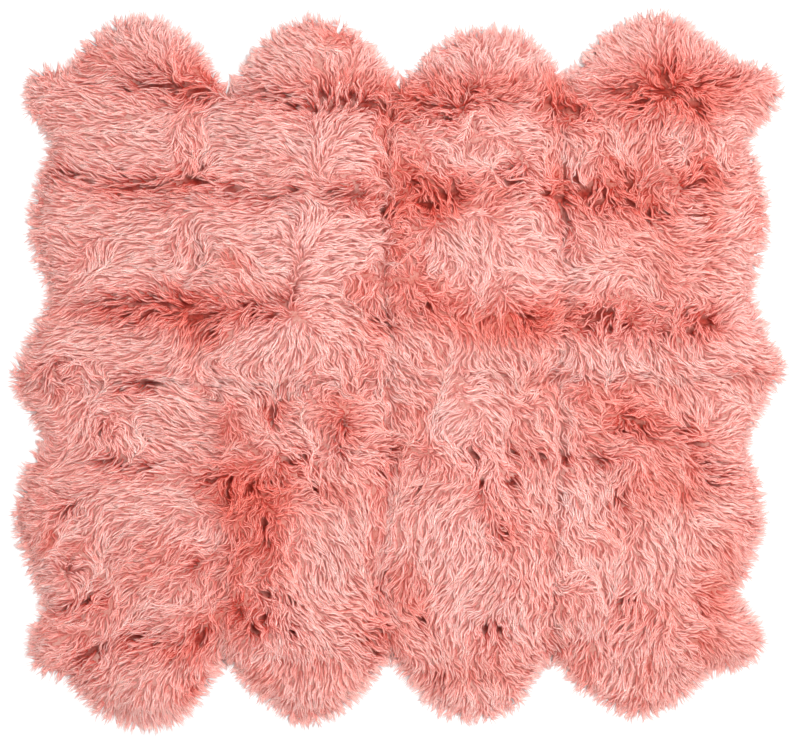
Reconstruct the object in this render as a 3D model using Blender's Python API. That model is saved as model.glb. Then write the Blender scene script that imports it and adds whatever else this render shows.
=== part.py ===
"""A long-wool sheepskin rug: eight dyed pelts sewn butt to butt, lying flat on the floor.

Four columns of pelts stand in a far row (+Y) and a near row (-Y). Every pelt is one closed lumpy slab
with a flat underside, a rounded rim, troughs where the wool parts, and tapered locks that are fused to
its rim and lie on the floor. +X is the rug's long way, +Z is up, and the origin is on the floor under
the middle of the rug. The tables are in millimetres.
"""
import math
from collections import namedtuple

import bmesh
import bpy
import numpy as np
from mathutils import Vector, geometry, noise

MM = 0.001

# Driving dimensions, in millimetres.
PILE_HEIGHT = 47.0        # the lying wool between its partings
PILE_LOWEST = 20.0        # in the deepest parting
PILE_HIGHEST = 64.0       # on the fullest tuft
SHOULDER = 70.0           # how far in from the rim the wool reaches its full height
RIM_HEIGHT = 17.0         # the rim's upright face, where the locks grow
SEAM_DEPTH = 9.0          # how far the wool sinks over a seam
SEAM_WIDTH = 34.0
SEAM_GAP = 0.4            # between the slabs of two neighbouring pelts

LUMP_HEIGHT = 18.0        # broad lumps in the wool, from a hollow to the next rise
LUMP_LENGTH = 150.0
TUFT_HEIGHT = 12.0        # small tufts on those lumps
TUFT_LENGTH = 62.0

LOCK_PITCH = 29.0         # along the rim, from one lock to the next
LOCK_PITCH_CHANGE = 2.5   # a lock's place is that far off at most
LOCK_NARROWEST = 14.0     # at the root
LOCK_WIDEST = 21.0
LOCK_TOP = 0.7            # share of a lock's width left along its top
LOCK_REACH = 31.0         # from the rim to the tip
LOCK_REACH_CHANGE = 9.0   # longer or shorter than that
LOCK_CURL = 17.0          # how far a tip bends sideways where the wool is combed along the rim
LOCK_CURL_CHANGE = 4.0    # more or less than that
LOCK_CURL_LENGTH = 120.0  # along the rim, over which that combing changes
NOTCH_CLEAR = 12.0        # from the bottom of a notch to the first lock's place
NOTCH_REACH = 0.1         # share of a lock's reach left at the bottom of a notch
NOTCH_LENGTH = 95.0       # from the notch to the first lock of full reach

SURFACE_PITCH = 40.0      # between the surface's points
SURFACE_SCATTER = 6.5     # how far a point lies off its grid
SURFACE_CLEAR = 20.0      # from the surface's points to a parting or the pelt's edge
SEAM_PITCH = 42.0         # between a seam's points

RANDOM_SEED = 8
LUMP_LAYER, TUFT_LAYER, CURL_LAYER = 0.5, 7.5, 3.5    # where each rolling value is read

# One row for each ring of a lock: its share of the lock's reach, and of the root's width and height.
LockRing = namedtuple("LockRing", "reach width height")
LOCK_RINGS = (
    LockRing(0.55, 0.74, 0.66),
    LockRing(1.00, 0.32, 0.28),
)

# Where seams meet each other or the rug's outline. The far and near ones are the notches between lobes,
# and west and east are the tips of the legs that meet at the ends of the middle seam.
Corner = namedtuple("Corner", "x y")
CORNERS = {
    "west": Corner(-958, -20),
    "east": Corner(964, -5),
    "cross_1": Corner(-465, -25),
    "cross_2": Corner(-20, -20),
    "cross_3": Corner(415, -10),
    "far_1": Corner(-430, 695),
    "far_2": Corner(5, 715),
    "far_3": Corner(428, 722),
    "near_1": Corner(-440, -720),
    "near_2": Corner(-20, -710),
    "near_3": Corner(390, -715),
}

# The seams, each bowing through two points between its corners.
Seam = namedtuple("Seam", "start end bow_1_x bow_1_y bow_2_x bow_2_y")
SEAMS = {
    "far_12": Seam("far_1", "cross_1", -493, 500, -507, 250),
    "far_23": Seam("far_2", "cross_2", -38, 480, -35, 260),
    "far_34": Seam("far_3", "cross_3", 420, 510, 420, 230),
    "near_12": Seam("cross_1", "near_1", -450, -250, -430, -520),
    "near_23": Seam("cross_2", "near_2", -18, -260, -35, -500),
    "near_34": Seam("cross_3", "near_3", 408, -260, 397, -520),
    "middle_1": Seam("west", "cross_1", -800, -25, -640, -33),
    "middle_2": Seam("cross_1", "cross_2", -310, -32, -170, -32),
    "middle_3": Seam("cross_2", "cross_3", 125, -10, 270, -6),
    "middle_4": Seam("cross_3", "east", 600, -14, 790, -12),
}

# The rug's rim, clockwise, one row for each lobe. A lobe starts in the notch before it, rises over its
# first shoulder to its tip and falls over its second shoulder to the next row's start.
Lobe = namedtuple("Lobe", "start_x start_y rise_x rise_y tip_x tip_y fall_x fall_y")
LOBES = {
    "far_1": {
        "middle_leg": Lobe(-958, -20, -932, 48, -905, 100, -882, 150),
        "belly": Lobe(-875, 205, -895, 280, -914, 357, -900, 450),
        "fore_leg": Lobe(-865, 572, -912, 648, -930, 700, -905, 745),
        "neck": Lobe(-832, 755, -732, 850, -632, 877, -530, 812),
    },
    "far_2": {
        "neck": Lobe(-430, 695, -343, 812, -222, 870, -98, 826),
    },
    "far_3": {
        "neck": Lobe(5, 715, 106, 803, 220, 848, 330, 822),
    },
    "far_4": {
        "neck": Lobe(428, 722, 520, 832, 658, 888, 768, 834),
        "fore_leg": Lobe(845, 780, 932, 746, 956, 708, 928, 664),
        "belly": Lobe(876, 590, 905, 470, 922, 360, 900, 280),
        "middle_leg": Lobe(882, 195, 900, 130, 925, 80, 948, 35),
    },
    "near_4": {
        "middle_leg": Lobe(964, -5, 928, -50, 902, -98, 882, -150),
        "belly": Lobe(872, -205, 895, -280, 908, -360, 897, -448),
        "hind_leg": Lobe(845, -558, 882, -632, 909, -690, 872, -732),
        "tail": Lobe(788, -752, 720, -810, 610, -856, 488, -800),
    },
    "near_3": {
        "tail": Lobe(390, -715, 302, -822, 190, -873, 78, -818),
    },
    "near_2": {
        "tail": Lobe(-20, -710, -114, -816, -225, -874, -338, -814),
    },
    "near_1": {
        "tail": Lobe(-440, -720, -538, -844, -642, -886, -768, -832),
        "hind_leg": Lobe(-832, -768, -898, -748, -920, -712, -912, -662),
        "belly": Lobe(-887, -600, -912, -505, -952, -385, -930, -275),
        "middle_leg": Lobe(-890, -168, -910, -120, -930, -85, -947, -50),
    },
}

# A pelt's seams, clockwise from where its lobes end. A seam walked from its end to its start is reversed.
Walk = namedtuple("Walk", "seam reversed")
Pelt = namedtuple("Pelt", "rim_end seams tint")
PELTS = {
    "far_1": Pelt("far_1", (Walk("far_12", False), Walk("middle_1", True)), 0.97),
    "far_2": Pelt("far_2", (Walk("far_23", False), Walk("middle_2", True), Walk("far_12", True)), 1.04),
    "far_3": Pelt("far_3", (Walk("far_34", False), Walk("middle_3", True), Walk("far_23", True)), 0.98),
    "far_4": Pelt("east", (Walk("middle_4", True), Walk("far_34", True)), 0.99),
    "near_4": Pelt("near_3", (Walk("near_34", True), Walk("middle_4", False)), 0.95),
    "near_3": Pelt("near_2", (Walk("near_23", True), Walk("middle_3", False), Walk("near_34", False)), 1.03),
    "near_2": Pelt("near_1", (Walk("near_12", True), Walk("middle_2", False), Walk("near_23", False)), 1.00),
    "near_1": Pelt("west", (Walk("middle_1", False), Walk("near_12", False)), 0.98),
}

# The troughs where the wool parts and falls two ways, one row each, bowing through a middle point.
Parting = namedtuple("Parting", "start_x start_y middle_x middle_y end_x end_y depth width")
PARTINGS = {
    "neck_1": Parting(-850, 755, -680, 725, -465, 705, 18, 30),
    "neck_2": Parting(-440, 690, -250, 685, -50, 668, 18, 28),
    "neck_3": Parting(-35, 655, 185, 690, 410, 660, 17, 28),
    "neck_4": Parting(450, 690, 620, 725, 800, 690, 15, 36),
    "withers_12": Parting(-880, 500, -600, 452, -290, 436, 19, 30),
    "withers_23": Parting(-290, 436, -60, 450, 150, 446, 17, 28),
    "withers_34": Parting(150, 446, 480, 448, 805, 490, 19, 30),
    "loin_1": Parting(-870, 165, -655, 172, -470, 150, 18, 30),
    "loin_2": Parting(-470, 150, -270, 178, -40, 122, 19, 30),
    "loin_3": Parting(-40, 122, 185, 138, 410, 135, 17, 28),
    "loin_4": Parting(410, 135, 620, 128, 805, 128, 19, 30),
    "flank_12": Parting(-905, -225, -640, -240, -400, -205, 14, 30),
    "flank_34": Parting(-230, -200, 60, -222, 480, -215, 14, 30),
    "flank_4": Parting(480, -215, 640, -170, 760, -225, 12, 34),
    "rump_1": Parting(-800, -725, -660, -672, -500, -690, 16, 28),
    "rump_2": Parting(-390, -715, -200, -755, -80, -755, 14, 28),
    "rump_3": Parting(30, -760, 190, -790, 330, -765, 14, 28),
    "rump_4": Parting(470, -740, 610, -780, 740, -765, 12, 28),
    "spine_2": Parting(-250, 640, -272, 520, -272, 240, 9, 24),
    "spine_4": Parting(755, 420, 765, 300, 752, 175, 10, 24),
    "column_2": Parting(-420, 110, -385, -240, -360, -560, 9, 30),
}

# The wool's colour before each pelt's tint, as the red, green and blue of the dyed fleece.
WOOL_COLOUR = (0.80, 0.31, 0.26)
WOOL_ROUGHNESS = 0.85

CURVE_STEPS = 16          # straight steps that a curve takes between two of its points


def clear_scene():
    """Empties the scene."""
    for thing in list(bpy.data.objects):
        bpy.data.objects.remove(thing, do_unlink=True)


def curve_through(points):
    """A smooth line through the points, as rows of x and y. It ends freely at both ends."""
    points = np.array(points, float)
    first = 2 * points[0] - points[1]
    last = 2 * points[-1] - points[-2]
    knots = np.vstack([first, points, last])
    line = []
    for before, start, end, after in zip(knots[:-3], knots[1:-2], knots[2:-1], knots[3:]):
        for step in range(CURVE_STEPS):
            t = step / CURVE_STEPS
            line.append(0.5 * (2 * start + (end - before) * t
                               + (2 * before - 5 * start + 4 * end - after) * t ** 2
                               + (3 * start - before - 3 * end + after) * t ** 3))
    line.append(points[-1])
    return np.array(line)


def lengths_along(line):
    """The distance along the line from its start to each of its points."""
    steps = np.linalg.norm(np.diff(line, axis=0), axis=1)
    return np.concatenate([[0.0], np.cumsum(steps)])


def points_at(line, distances):
    """The points that lie the given distances along the line."""
    along = lengths_along(line)
    return np.column_stack([np.interp(distances, along, line[:, axis]) for axis in (0, 1)])


def spaced(line, pitch):
    """The line's points about one pitch apart, its ends among them."""
    length = lengths_along(line)[-1]
    count = max(2, round(length / pitch))
    return points_at(line, np.linspace(0, length, count + 1))


def distance_to_line(spots, line):
    """The distance from each spot to the nearest place on the line."""
    start = line[:-1]
    run = line[1:] - start
    length_squared = np.maximum((run ** 2).sum(axis=1), 1e-9)
    nearest = np.full(len(spots), np.inf)
    for here, step, square in zip(start, run, length_squared):
        share = np.clip(((spots - here) @ step) / square, 0, 1)
        gap = np.linalg.norm(spots - here - share[:, None] * step, axis=1)
        nearest = np.minimum(nearest, gap)
    return nearest


def is_inside(spots, ring):
    """True for each spot that lies inside the closed ring."""
    inside = np.zeros(len(spots), bool)
    x, y = spots[:, 0], spots[:, 1]
    for (x1, y1), (x2, y2) in zip(ring, np.roll(ring, -1, axis=0)):
        if y1 == y2:
            continue
        crosses = (y1 > y) != (y2 > y)
        inside ^= crosses & (x < (x2 - x1) * (y - y1) / (y2 - y1) + x1)
    return inside


def lobe_lines(name):
    """Each lobe of the pelt as a smooth line from its notch to the next, clockwise."""
    lobes = list(LOBES[name].values())
    ends = [(lobe.start_x, lobe.start_y) for lobe in lobes[1:]] + [CORNERS[PELTS[name].rim_end]]
    return [
        curve_through([lobe[0:2], lobe[2:4], lobe[4:6], lobe[6:8], end])
        for lobe, end in zip(lobes, ends)
    ]


def seam_line(name):
    """A seam as a smooth line between its corners."""
    seam = SEAMS[name]
    bows = [(seam.bow_1_x, seam.bow_1_y), (seam.bow_2_x, seam.bow_2_y)]
    return curve_through([CORNERS[seam.start], *bows, CORNERS[seam.end]])


def parting_line(parting):
    """A parting as a smooth line."""
    return curve_through([parting[0:2], parting[2:4], parting[4:6]])


def whole_rim():
    """The rug's rim as one closed line."""
    lines = [line[:-1] for name in LOBES for line in lobe_lines(name)]
    ring = np.vstack(lines)
    return np.vstack([ring, ring[:1]])


def notches():
    """Where the rim turns inward between two lobes."""
    tips = [tuple(CORNERS["west"]), tuple(CORNERS["east"])]
    starts = [(lobe.start_x, lobe.start_y) for lobes in LOBES.values() for lobe in lobes.values()]
    return np.array([start for start in starts if start not in tips], float)


def rolling(spots, length, layer):
    """A smooth random value, about -0.5 to 0.5, for each spot, with waves about one length long."""
    places = [Vector((x / length, y / length, layer)) for x, y in spots]
    return np.array([noise.noise(place) for place in places])


def pile_heights(spots, rim):
    """The wool's height at each spot, in millimetres."""
    heights = np.full(len(spots), PILE_HEIGHT)
    heights += LUMP_HEIGHT * rolling(spots, LUMP_LENGTH, LUMP_LAYER)
    heights += TUFT_HEIGHT * rolling(spots, TUFT_LENGTH, TUFT_LAYER)
    for parting in PARTINGS.values():
        away = distance_to_line(spots, parting_line(parting))
        heights -= parting.depth * np.exp(-(away / parting.width) ** 2)
    for name in SEAMS:
        away = distance_to_line(spots, seam_line(name))
        heights -= SEAM_DEPTH * np.exp(-(away / SEAM_WIDTH) ** 2)
    heights = np.clip(heights, PILE_LOWEST, PILE_HIGHEST)
    inward = np.clip(distance_to_line(spots, rim) / SHOULDER, 0, 1)
    return RIM_HEIGHT + (heights - RIM_HEIGHT) * np.sqrt(1 - (1 - inward) ** 2)


def surface_spots(rim, chance):
    """Spots all over the rug for the surface to pass through: a staggered grid, and along the partings."""
    rows = []
    row_step = SURFACE_PITCH * math.sqrt(3) / 2
    low, high = rim.min(axis=0), rim.max(axis=0)
    for row, y in enumerate(np.arange(low[1], high[1], row_step)):
        x = np.arange(low[0] + SURFACE_PITCH / 2 * (row % 2), high[0], SURFACE_PITCH)
        rows.append(np.column_stack([x, np.full(len(x), y)]))
    grid = np.vstack(rows)
    grid += chance.uniform(-SURFACE_SCATTER, SURFACE_SCATTER, grid.shape)
    for parting in PARTINGS.values():
        along = spaced(parting_line(parting), SURFACE_PITCH)
        grid = grid[distance_to_line(grid, along) > SURFACE_CLEAR]
        grid = np.vstack([grid, along])
    return grid


def clear_of_notch(end, hollows):
    """The stretch of rim without locks at a lobe's end, which is nothing where the end isn't a notch."""
    return NOTCH_CLEAR if np.isclose(hollows, end).all(axis=1).any() else 0.0


def lobe_ring(line, hollows, chance):
    """A lobe's points, and the place in them of each lock's first root corner."""
    first = clear_of_notch(line[0], hollows)
    length = lengths_along(line)[-1] - first - clear_of_notch(line[-1], hollows)
    count = max(1, round(length / LOCK_PITCH))
    middles = first + (np.arange(count) + 0.5) * length / count
    middles += chance.uniform(-1, 1, count) * LOCK_PITCH_CHANGE
    half_widths = chance.uniform(LOCK_NARROWEST, LOCK_WIDEST, count) / 2
    roots = np.column_stack([middles - half_widths, middles + half_widths]).ravel()
    points = np.vstack([line[:1], points_at(line, roots)])
    return points, [1 + 2 * number for number in range(count)]


def pelt_ring(name, hollows, chance):
    """The pelt's rim and seams as a closed counterclockwise ring, with its seam points and locks marked.

    Returns the ring's points, True for each point that is on a seam, and the place of each lock.
    """
    points, on_seam, locks = [], [], []
    for line in lobe_lines(name):
        lobe_points, lobe_locks = lobe_ring(line, hollows, chance)
        locks += [len(points) + place for place in lobe_locks]
        points += list(lobe_points)
        on_seam += [False] * len(lobe_points)
    for walk in PELTS[name].seams:
        seam_points = spaced(seam_line(walk.seam), SEAM_PITCH)
        if walk.reversed:
            seam_points = seam_points[::-1]
        points += list(seam_points[:-1])
        on_seam += [True] * (len(seam_points) - 1)
    on_seam[0] = True
    last = len(points) - 1
    return np.array(points)[::-1], on_seam[::-1], [last - place - 1 for place in locks]


def drawn_in(ring, on_seam):
    """The ring with its seam points drawn inward by half the gap between two pelts."""
    before = ring - np.roll(ring, 1, axis=0)
    after = np.roll(ring, -1, axis=0) - ring
    before /= np.linalg.norm(before, axis=1)[:, None]
    after /= np.linalg.norm(after, axis=1)[:, None]
    inward_before = np.column_stack([-before[:, 1], before[:, 0]])
    inward_after = np.column_stack([-after[:, 1], after[:, 0]])
    inward = inward_before + inward_after
    inward /= (1 + (inward_before * inward_after).sum(axis=1))[:, None]
    return ring + inward * np.array(on_seam)[:, None] * SEAM_GAP / 2


def fill_ring(ring, spots):
    """The ring filled with triangles that pass through the spots.

    Returns the points, the ring's own points first, and each triangle's three places in them.
    """
    points = np.vstack([ring, spots])
    edges = [(place, (place + 1) % len(ring)) for place in range(len(ring))]
    only_inside = 1
    filled = geometry.delaunay_2d_cdt([Vector(point) for point in points], edges, [], only_inside, 1e-6)
    triangles, sources = filled[2], filled[3]
    return points, [[sources[corner][0] for corner in triangle] for triangle in triangles]


def add_lock(body, root, reach, curl):
    """Grows a lock from its root, a face of the rim, out along the floor to its tip."""
    left, right, right_top, _ = (Vector(corner.co) for corner in root)
    along_rim = (right - left).normalized()
    outward = along_rim.cross(Vector((0, 0, 1)))
    middle = (left + right) / 2
    half_width = (right - left).length / 2
    ring_before = list(root)
    for ring in LOCK_RINGS:
        centre = middle + outward * reach * ring.reach + along_rim * curl * ring.reach ** 2
        across = along_rim * half_width * ring.width
        over = across * LOCK_TOP
        up = Vector((0, 0, right_top.z * ring.height))
        corners = [centre - across, centre + across, centre + over + up, centre - over + up]
        ring_here = [body.verts.new(corner) for corner in corners]
        for side in range(4):
            following = (side + 1) % 4
            body.faces.new((ring_before[side], ring_before[following], ring_here[following], ring_here[side]))
        ring_before = ring_here
    body.faces.new(ring_before)


def lock_shape(root_middle, hollows, chance):
    """A lock's reach and curl in millimetres. A lock deep in a notch stays short, clear of its neighbour."""
    from_notch = np.linalg.norm(hollows - root_middle, axis=1).min()
    room = min(1.0, NOTCH_REACH + (1 - NOTCH_REACH) * from_notch / NOTCH_LENGTH)
    reach = LOCK_REACH + chance.uniform(-1, 1) * LOCK_REACH_CHANGE
    curl = LOCK_CURL * rolling([root_middle], LOCK_CURL_LENGTH, CURL_LAYER)[0]
    curl += chance.uniform(-1, 1) * LOCK_CURL_CHANGE
    return reach * room, curl * room ** 2


def make_pelt(name, rim, spots, hollows, chance):
    """One pelt as a closed mesh about the point under its own middle."""
    ring, on_seam, locks = pelt_ring(name, hollows, chance)
    ring = drawn_in(ring, on_seam)
    closed_ring = np.vstack([ring, ring[:1]])
    spots = spots[is_inside(spots, ring)]
    spots = spots[distance_to_line(spots, closed_ring) > SURFACE_CLEAR]
    points, triangles = fill_ring(ring, spots)
    heights = pile_heights(points, rim)
    centre = (ring.min(axis=0) + ring.max(axis=0)) / 2
    local = (points - centre) * MM

    body = bmesh.new()
    top = [body.verts.new((x, y, z * MM)) for (x, y), z in zip(local, heights)]
    bottom = [body.verts.new((x, y, 0.0)) for x, y in local[:len(ring)]]
    for triangle in triangles:
        body.faces.new([top[corner] for corner in triangle])
    body.faces.new(bottom[::-1])
    lock_places = set(locks)
    for here in range(len(ring)):
        there = (here + 1) % len(ring)
        wall = (bottom[here], bottom[there], top[there], top[here])
        if here in lock_places:
            reach, curl = lock_shape((ring[here] + ring[there]) / 2, hollows, chance)
            add_lock(body, wall, reach * MM, curl * MM)
        else:
            body.faces.new(wall)
    bmesh.ops.recalc_face_normals(body, faces=body.faces)

    mesh = bpy.data.meshes.new(f"pelt_{name}")
    body.to_mesh(mesh)
    body.free()
    pelt = bpy.data.objects.new(f"pelt_{name}", mesh)
    pelt.location = (centre[0] * MM, centre[1] * MM, 0.0)
    bpy.context.collection.objects.link(pelt)
    return pelt


def dyed_wool(name, tint):
    """The fleece's coral dye, a little lighter or darker from pelt to pelt."""
    material = bpy.data.materials.new(f"dyed_wool_{name}")
    material.use_nodes = True
    shader = material.node_tree.nodes["Principled BSDF"]
    shader.inputs["Base Color"].default_value = (*(min(1.0, part * tint) for part in WOOL_COLOUR), 1.0)
    shader.inputs["Roughness"].default_value = WOOL_ROUGHNESS
    shader.inputs["Metallic"].default_value = 0.0
    return material


def make_rug():
    """All eight pelts under one empty."""
    chance = np.random.default_rng(RANDOM_SEED)
    rim = whole_rim()
    spots = surface_spots(rim, chance)
    hollows = notches()
    rug = bpy.data.objects.new("rug", None)
    bpy.context.collection.objects.link(rug)
    for name, details in PELTS.items():
        pelt = make_pelt(name, rim, spots, hollows, chance)
        pelt.data.materials.append(dyed_wool(name, details.tint))
        pelt.parent = rug


clear_scene()
make_rug()
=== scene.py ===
import math
from collections import Counter, namedtuple

import bmesh
import bpy
import numpy as np
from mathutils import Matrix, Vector, kdtree
from mathutils.bvhtree import BVHTree


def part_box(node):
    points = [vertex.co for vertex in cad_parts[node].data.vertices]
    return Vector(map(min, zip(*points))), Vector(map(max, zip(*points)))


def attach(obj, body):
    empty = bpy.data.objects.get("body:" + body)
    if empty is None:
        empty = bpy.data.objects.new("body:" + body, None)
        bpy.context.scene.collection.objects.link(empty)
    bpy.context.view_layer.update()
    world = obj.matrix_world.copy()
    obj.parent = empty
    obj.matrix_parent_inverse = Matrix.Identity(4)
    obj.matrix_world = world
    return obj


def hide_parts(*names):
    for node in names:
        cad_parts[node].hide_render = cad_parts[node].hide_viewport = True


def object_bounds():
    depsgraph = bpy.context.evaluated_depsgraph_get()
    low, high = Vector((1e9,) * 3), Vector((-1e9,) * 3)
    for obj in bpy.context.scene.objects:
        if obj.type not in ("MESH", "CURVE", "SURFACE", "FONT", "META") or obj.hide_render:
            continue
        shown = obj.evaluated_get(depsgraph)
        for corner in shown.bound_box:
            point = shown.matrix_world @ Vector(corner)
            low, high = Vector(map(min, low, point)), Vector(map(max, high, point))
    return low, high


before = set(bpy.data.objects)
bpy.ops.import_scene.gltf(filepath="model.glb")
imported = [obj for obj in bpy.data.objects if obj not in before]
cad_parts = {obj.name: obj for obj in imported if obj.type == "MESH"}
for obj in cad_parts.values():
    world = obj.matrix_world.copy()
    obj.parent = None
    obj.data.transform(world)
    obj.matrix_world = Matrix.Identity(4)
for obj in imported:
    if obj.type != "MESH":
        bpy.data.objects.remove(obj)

CAD_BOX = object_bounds()

MM = 0.001

# A long-wool sheepskin rug: eight pelts sewn butt to butt, each a suede hide with the dyed wool
# combed over it. Sizes are in millimetres and turns in radians, unless a comment says otherwise.

# Wisps: fibres that dried together. Every wisp is a thin tapered solid.
WISP_PITCH = 9.5           # between the roots of two neighbours
WISP_INSET = 8.0           # from the wool's outline to the outermost roots
WISP_WIDTH = 6.2
WISP_THICKNESS = 1.0
WISP_RIDGE = 0.6           # share of its thickness over its path, where the rest is under it
WISP_LENGTH = 50.0         # the part that shows over the dense wool
WISP_CHANGE = 0.25         # share by which a wisp is longer or wider than that, or less so
WISP_TURN = 0.12           # by which it leaves the combed way
WISP_ROLL = 0.2            # by which it is rolled about its own length
WISP_STEPS = 12            # straight stretches along a path
WAVY_FROM, CURLY_FROM = 0.36, 0.5       # curl from which a wisp has more corners
SLEEK, WAVY, CURLY, FINE = range(4)
RINGS = {                  # the steps where a wisp of each kind has its corners
    SLEEK: (0, 4, 8, 12),
    WAVY: (0, 3, 6, 9, 12),
    CURLY: (0, 2, 4, 6, 8, 10, 12),
    FINE: (0, 6, 12),
}
STREAK_WIDTH = 2.6         # of a streak of fibres along a wisp; single fibres are too fine to show
STREAK_LENGTH = 21.0
STREAKS_APART = 500        # the streaks of two wisps are taken from places up to this far apart
CLUMP = 6.0                # of the dense wool's own streaks

# Short wisps stand where the comb parts, and fine ones make the fringe along the rim.
SHORT_PITCH = 6.5
SHORT_LENGTH = 26.0
SHORT_WIDTH = 0.8          # share of a wisp's width
SHORT_INSET = 27.5         # from the outline
FRINGE_PITCH = 5.4
FRINGE_WIDTH = 0.26
FRINGE_INSET = 6.0
FRINGE_DEPTH = 32.0        # how far in from the outline they grow
FRINGE_REACH = 16.0        # from the outline to a fine wisp's tip

# Locks: neighbouring wisps that draw together to their tips.
LOCK_PITCH = 13.0
LOCK_OVER_RIM = 4.0        # how far outside the outline a lock may start
LOCK_ROOT_PULL = 0.75      # share of the way to its lock's root from which a drawn wisp starts
LOCK_PULL = 0.55           # share of the way to its lock that a tip is drawn
LOCK_PULL_GROWS = 1.2      # power of the way along a wisp
LOCK_TURN = 0.08           # by which a lock leaves the combed way, in straight wool
LOCK_TURN_CURL = 0.4       # and more than that in curly wool
LOCK_PHASE = 0.5           # by which a wisp's wave is ahead of its lock's, or behind it
WAVE_LENGTH = 46.0         # of the slight wave along every lock
WAVE_TURN = 0.05           # by which it swings, in straight wool
WAVE_CURL = 0.8            # and more than that in curly wool
CRIMP_SHORT = 17.0         # the crimp's two waves
CRIMP_LONG = 36.0
CRIMP_LONG_SHARE = 0.8
CRIMP_TURN = 1.5           # for the curliest wool

# How high a wisp lies: over the dense wool, its lock higher or lower, most so where wool is open.
LIFT = 3.8
LOCK_LEVEL = 0.12          # shares of the lift
LOCK_LEVEL_OPEN = 1.1
WISP_LEVEL = 0.2
FULL_PILE = 32.0           # pile from which a wisp is lifted in full
LEAST_LIFT = 0.12
FLOOR_CLEAR = 1.2

# The rim: there the wool turns outward, and wisps are shortened to end at the outline.
RIM_OUT = 13.5             # from the slabs' smoothed outline to the wool's
RIM_SOFTENED = 3           # times that outline is averaged
RIM_BEND = 55.0            # over which the wool turns outward
RIM_OUTWARD = 1.2          # how strongly it does, beside the combing
RIM_SHORTENS = 1.6         # times the bend: there wisps start to be shortened
RIM_REACH_CHANGE = 8.0     # by which a tip ends farther out than the next, or farther in
RIM_SHORTEST = 12.0        # a wisp is never made shorter than that
RIM_SLACK = 0.35           # nearness to the rim under which shortening weakens no more
RIM_LOOSE = 1.1            # less the nearness to the rim: how fully a wisp is drawn to its lock
RIM_FADE = 22.0            # over which the tips' colour pales

# Profiles along a wisp, from its root at 0 to its tip at 1.
RISE = ((0, 0.25, 0.65, 1), (-0.9, 0.55, 1.0, 0.75))
WIDTHS = ((0, 0.3, 0.75, 1), (0.7, 1.0, 0.8, 0))
THICKNESSES = ((0, 0.3, 0.75, 1), (0.8, 1.0, 0.8, 0))
BODY_COLOUR = ((0, 0.3, 0.65, 1), (0, 0.4, 0.9, 1))

# The dense wool under the wisps.
UNDERWOOL_SHARE = 0.93     # of the pile's height
UNDERWOOL_LOWER = 2.0      # and lower than that by
UNDERWOOL_FLOOR = 2.4      # over the floor, clear of the hide
UNDERWOOL_THINNEST = 1.0   # over that
UNDERWOOL_LUMPS = (-1.5, 1.5)                # how uneven it is all over
UNDERWOOL_PITCHES = (24.0, 14.0, 7.0, 4.0)   # between its points as it is divided
UNDERWOOL_LONG = 1.5       # times the pitch: an edge as long as that is divided
UNDERWOOL_WIDE = 8.0       # from this pitch up it is divided all over, under it at the gaps only
UNDERWOOL_GAP = 0.15       # how open a gap is there
UNDERWOOL_INSET = 17.0     # from the wool's outline
SLAB_LEAST = 0.5           # a slab that is lower somewhere is taken as ending there
SLAB_UPPER = 3.0           # what lies higher on a slab is its upper side
JOIN_WITHIN = 0.1          # corners as near to each other as that are one
JOIN_DIGITS = 4            # of a corner's place in metres, that tell it from the next

HIDE_TOP = 2.0
HIDE_INSET = 5.0           # from the slab's rim to the hide's
HIDE_RIM = 14.0            # from the wool's outline to the slab's rim
HIDE_MOTTLE = 70.0         # of its pale and dark clouds
HIDE_NAP_PITCH = 1.4       # of the buffed nap, three times as coarse as the real one, so that it shows

GAP_EDGE = (3.0, 5.0)      # how softly the dense wool sinks into a gap, along and across it
GAP_SINKS = 0.75           # share of the pile's height by which the dense wool is lower there
GAP_LUMPS = (-4.0, 3.0)    # how uneven it is there
GAP_OPENS = 0.65           # share of a gap's width that the wisps clear
GAP_SHALLOW = 0.4          # share of that in the shallowest gap
GAP_DEEP = 0.7             # from this depth up no wisp lies across it
GAP_DEEP_LENGTH = 0.8      # times its depth: the share of a gap's length where that holds
GAP_SPREAD = (22.0, 30.0)  # how far past a gap the wool still stands open
SMALL_GAP_PITCH = 18.0
SMALL_GAP_SHARE = 0.9      # of the places where the wool is open and curly that have one
SMALL_GAP_SLEEK = 0.25     # share of that in sleek wool
SMALL_GAP_CORAL = 0.3      # and in curly coral wool that isn't open
SMALL_GAP_INSET = 40.0     # from the rim
SMALL_GAP_LENGTH = (16.0, 34.0)
SMALL_GAP_WIDTH = (7.0, 11.0)
SMALL_GAP_DEPTH = (0.6, 1.0)
SMALL_GAP_TURN = 40        # degrees by which it leaves the combed way

GRID_PITCH = 6.0           # of the maps over the rug
GRID_MARGIN = 48.0         # by which they reach past it
COMB_REACH = 20.0          # around a comb stroke
COMB_BATCH = 8000          # spots combed at a time
PARTING_GAIN = 45.0        # how readily short wisps grow where the comb parts
PATCH_REACH = 2.2          # times its half length: farther off a soft patch doesn't show

CAMERA_LENS = 100.0
SENSOR_WIDTH = 36.0
PIXEL = 2.535              # on the rug
IMAGE_WIDTH = 800
RUG_MIDDLE_PIXEL = (398.0, 370.5)
IMAGE_MIDDLE_PIXEL = (400.0, 369.5)
LENS_RISE = 20.0           # the middle of the wool lies that far over the floor
FLOOR_SIZE = 40.0          # metres, as is the softbox
ROOM_STRENGTH = 0.59       # of the even light from all around
SOFTBOX_SIZE = 2.6
SOFTBOX_WATTS = 325
SOFTBOX_PLACE = (1.8, 0.7, 5.8)

RANDOM_SEED = 21

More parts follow.
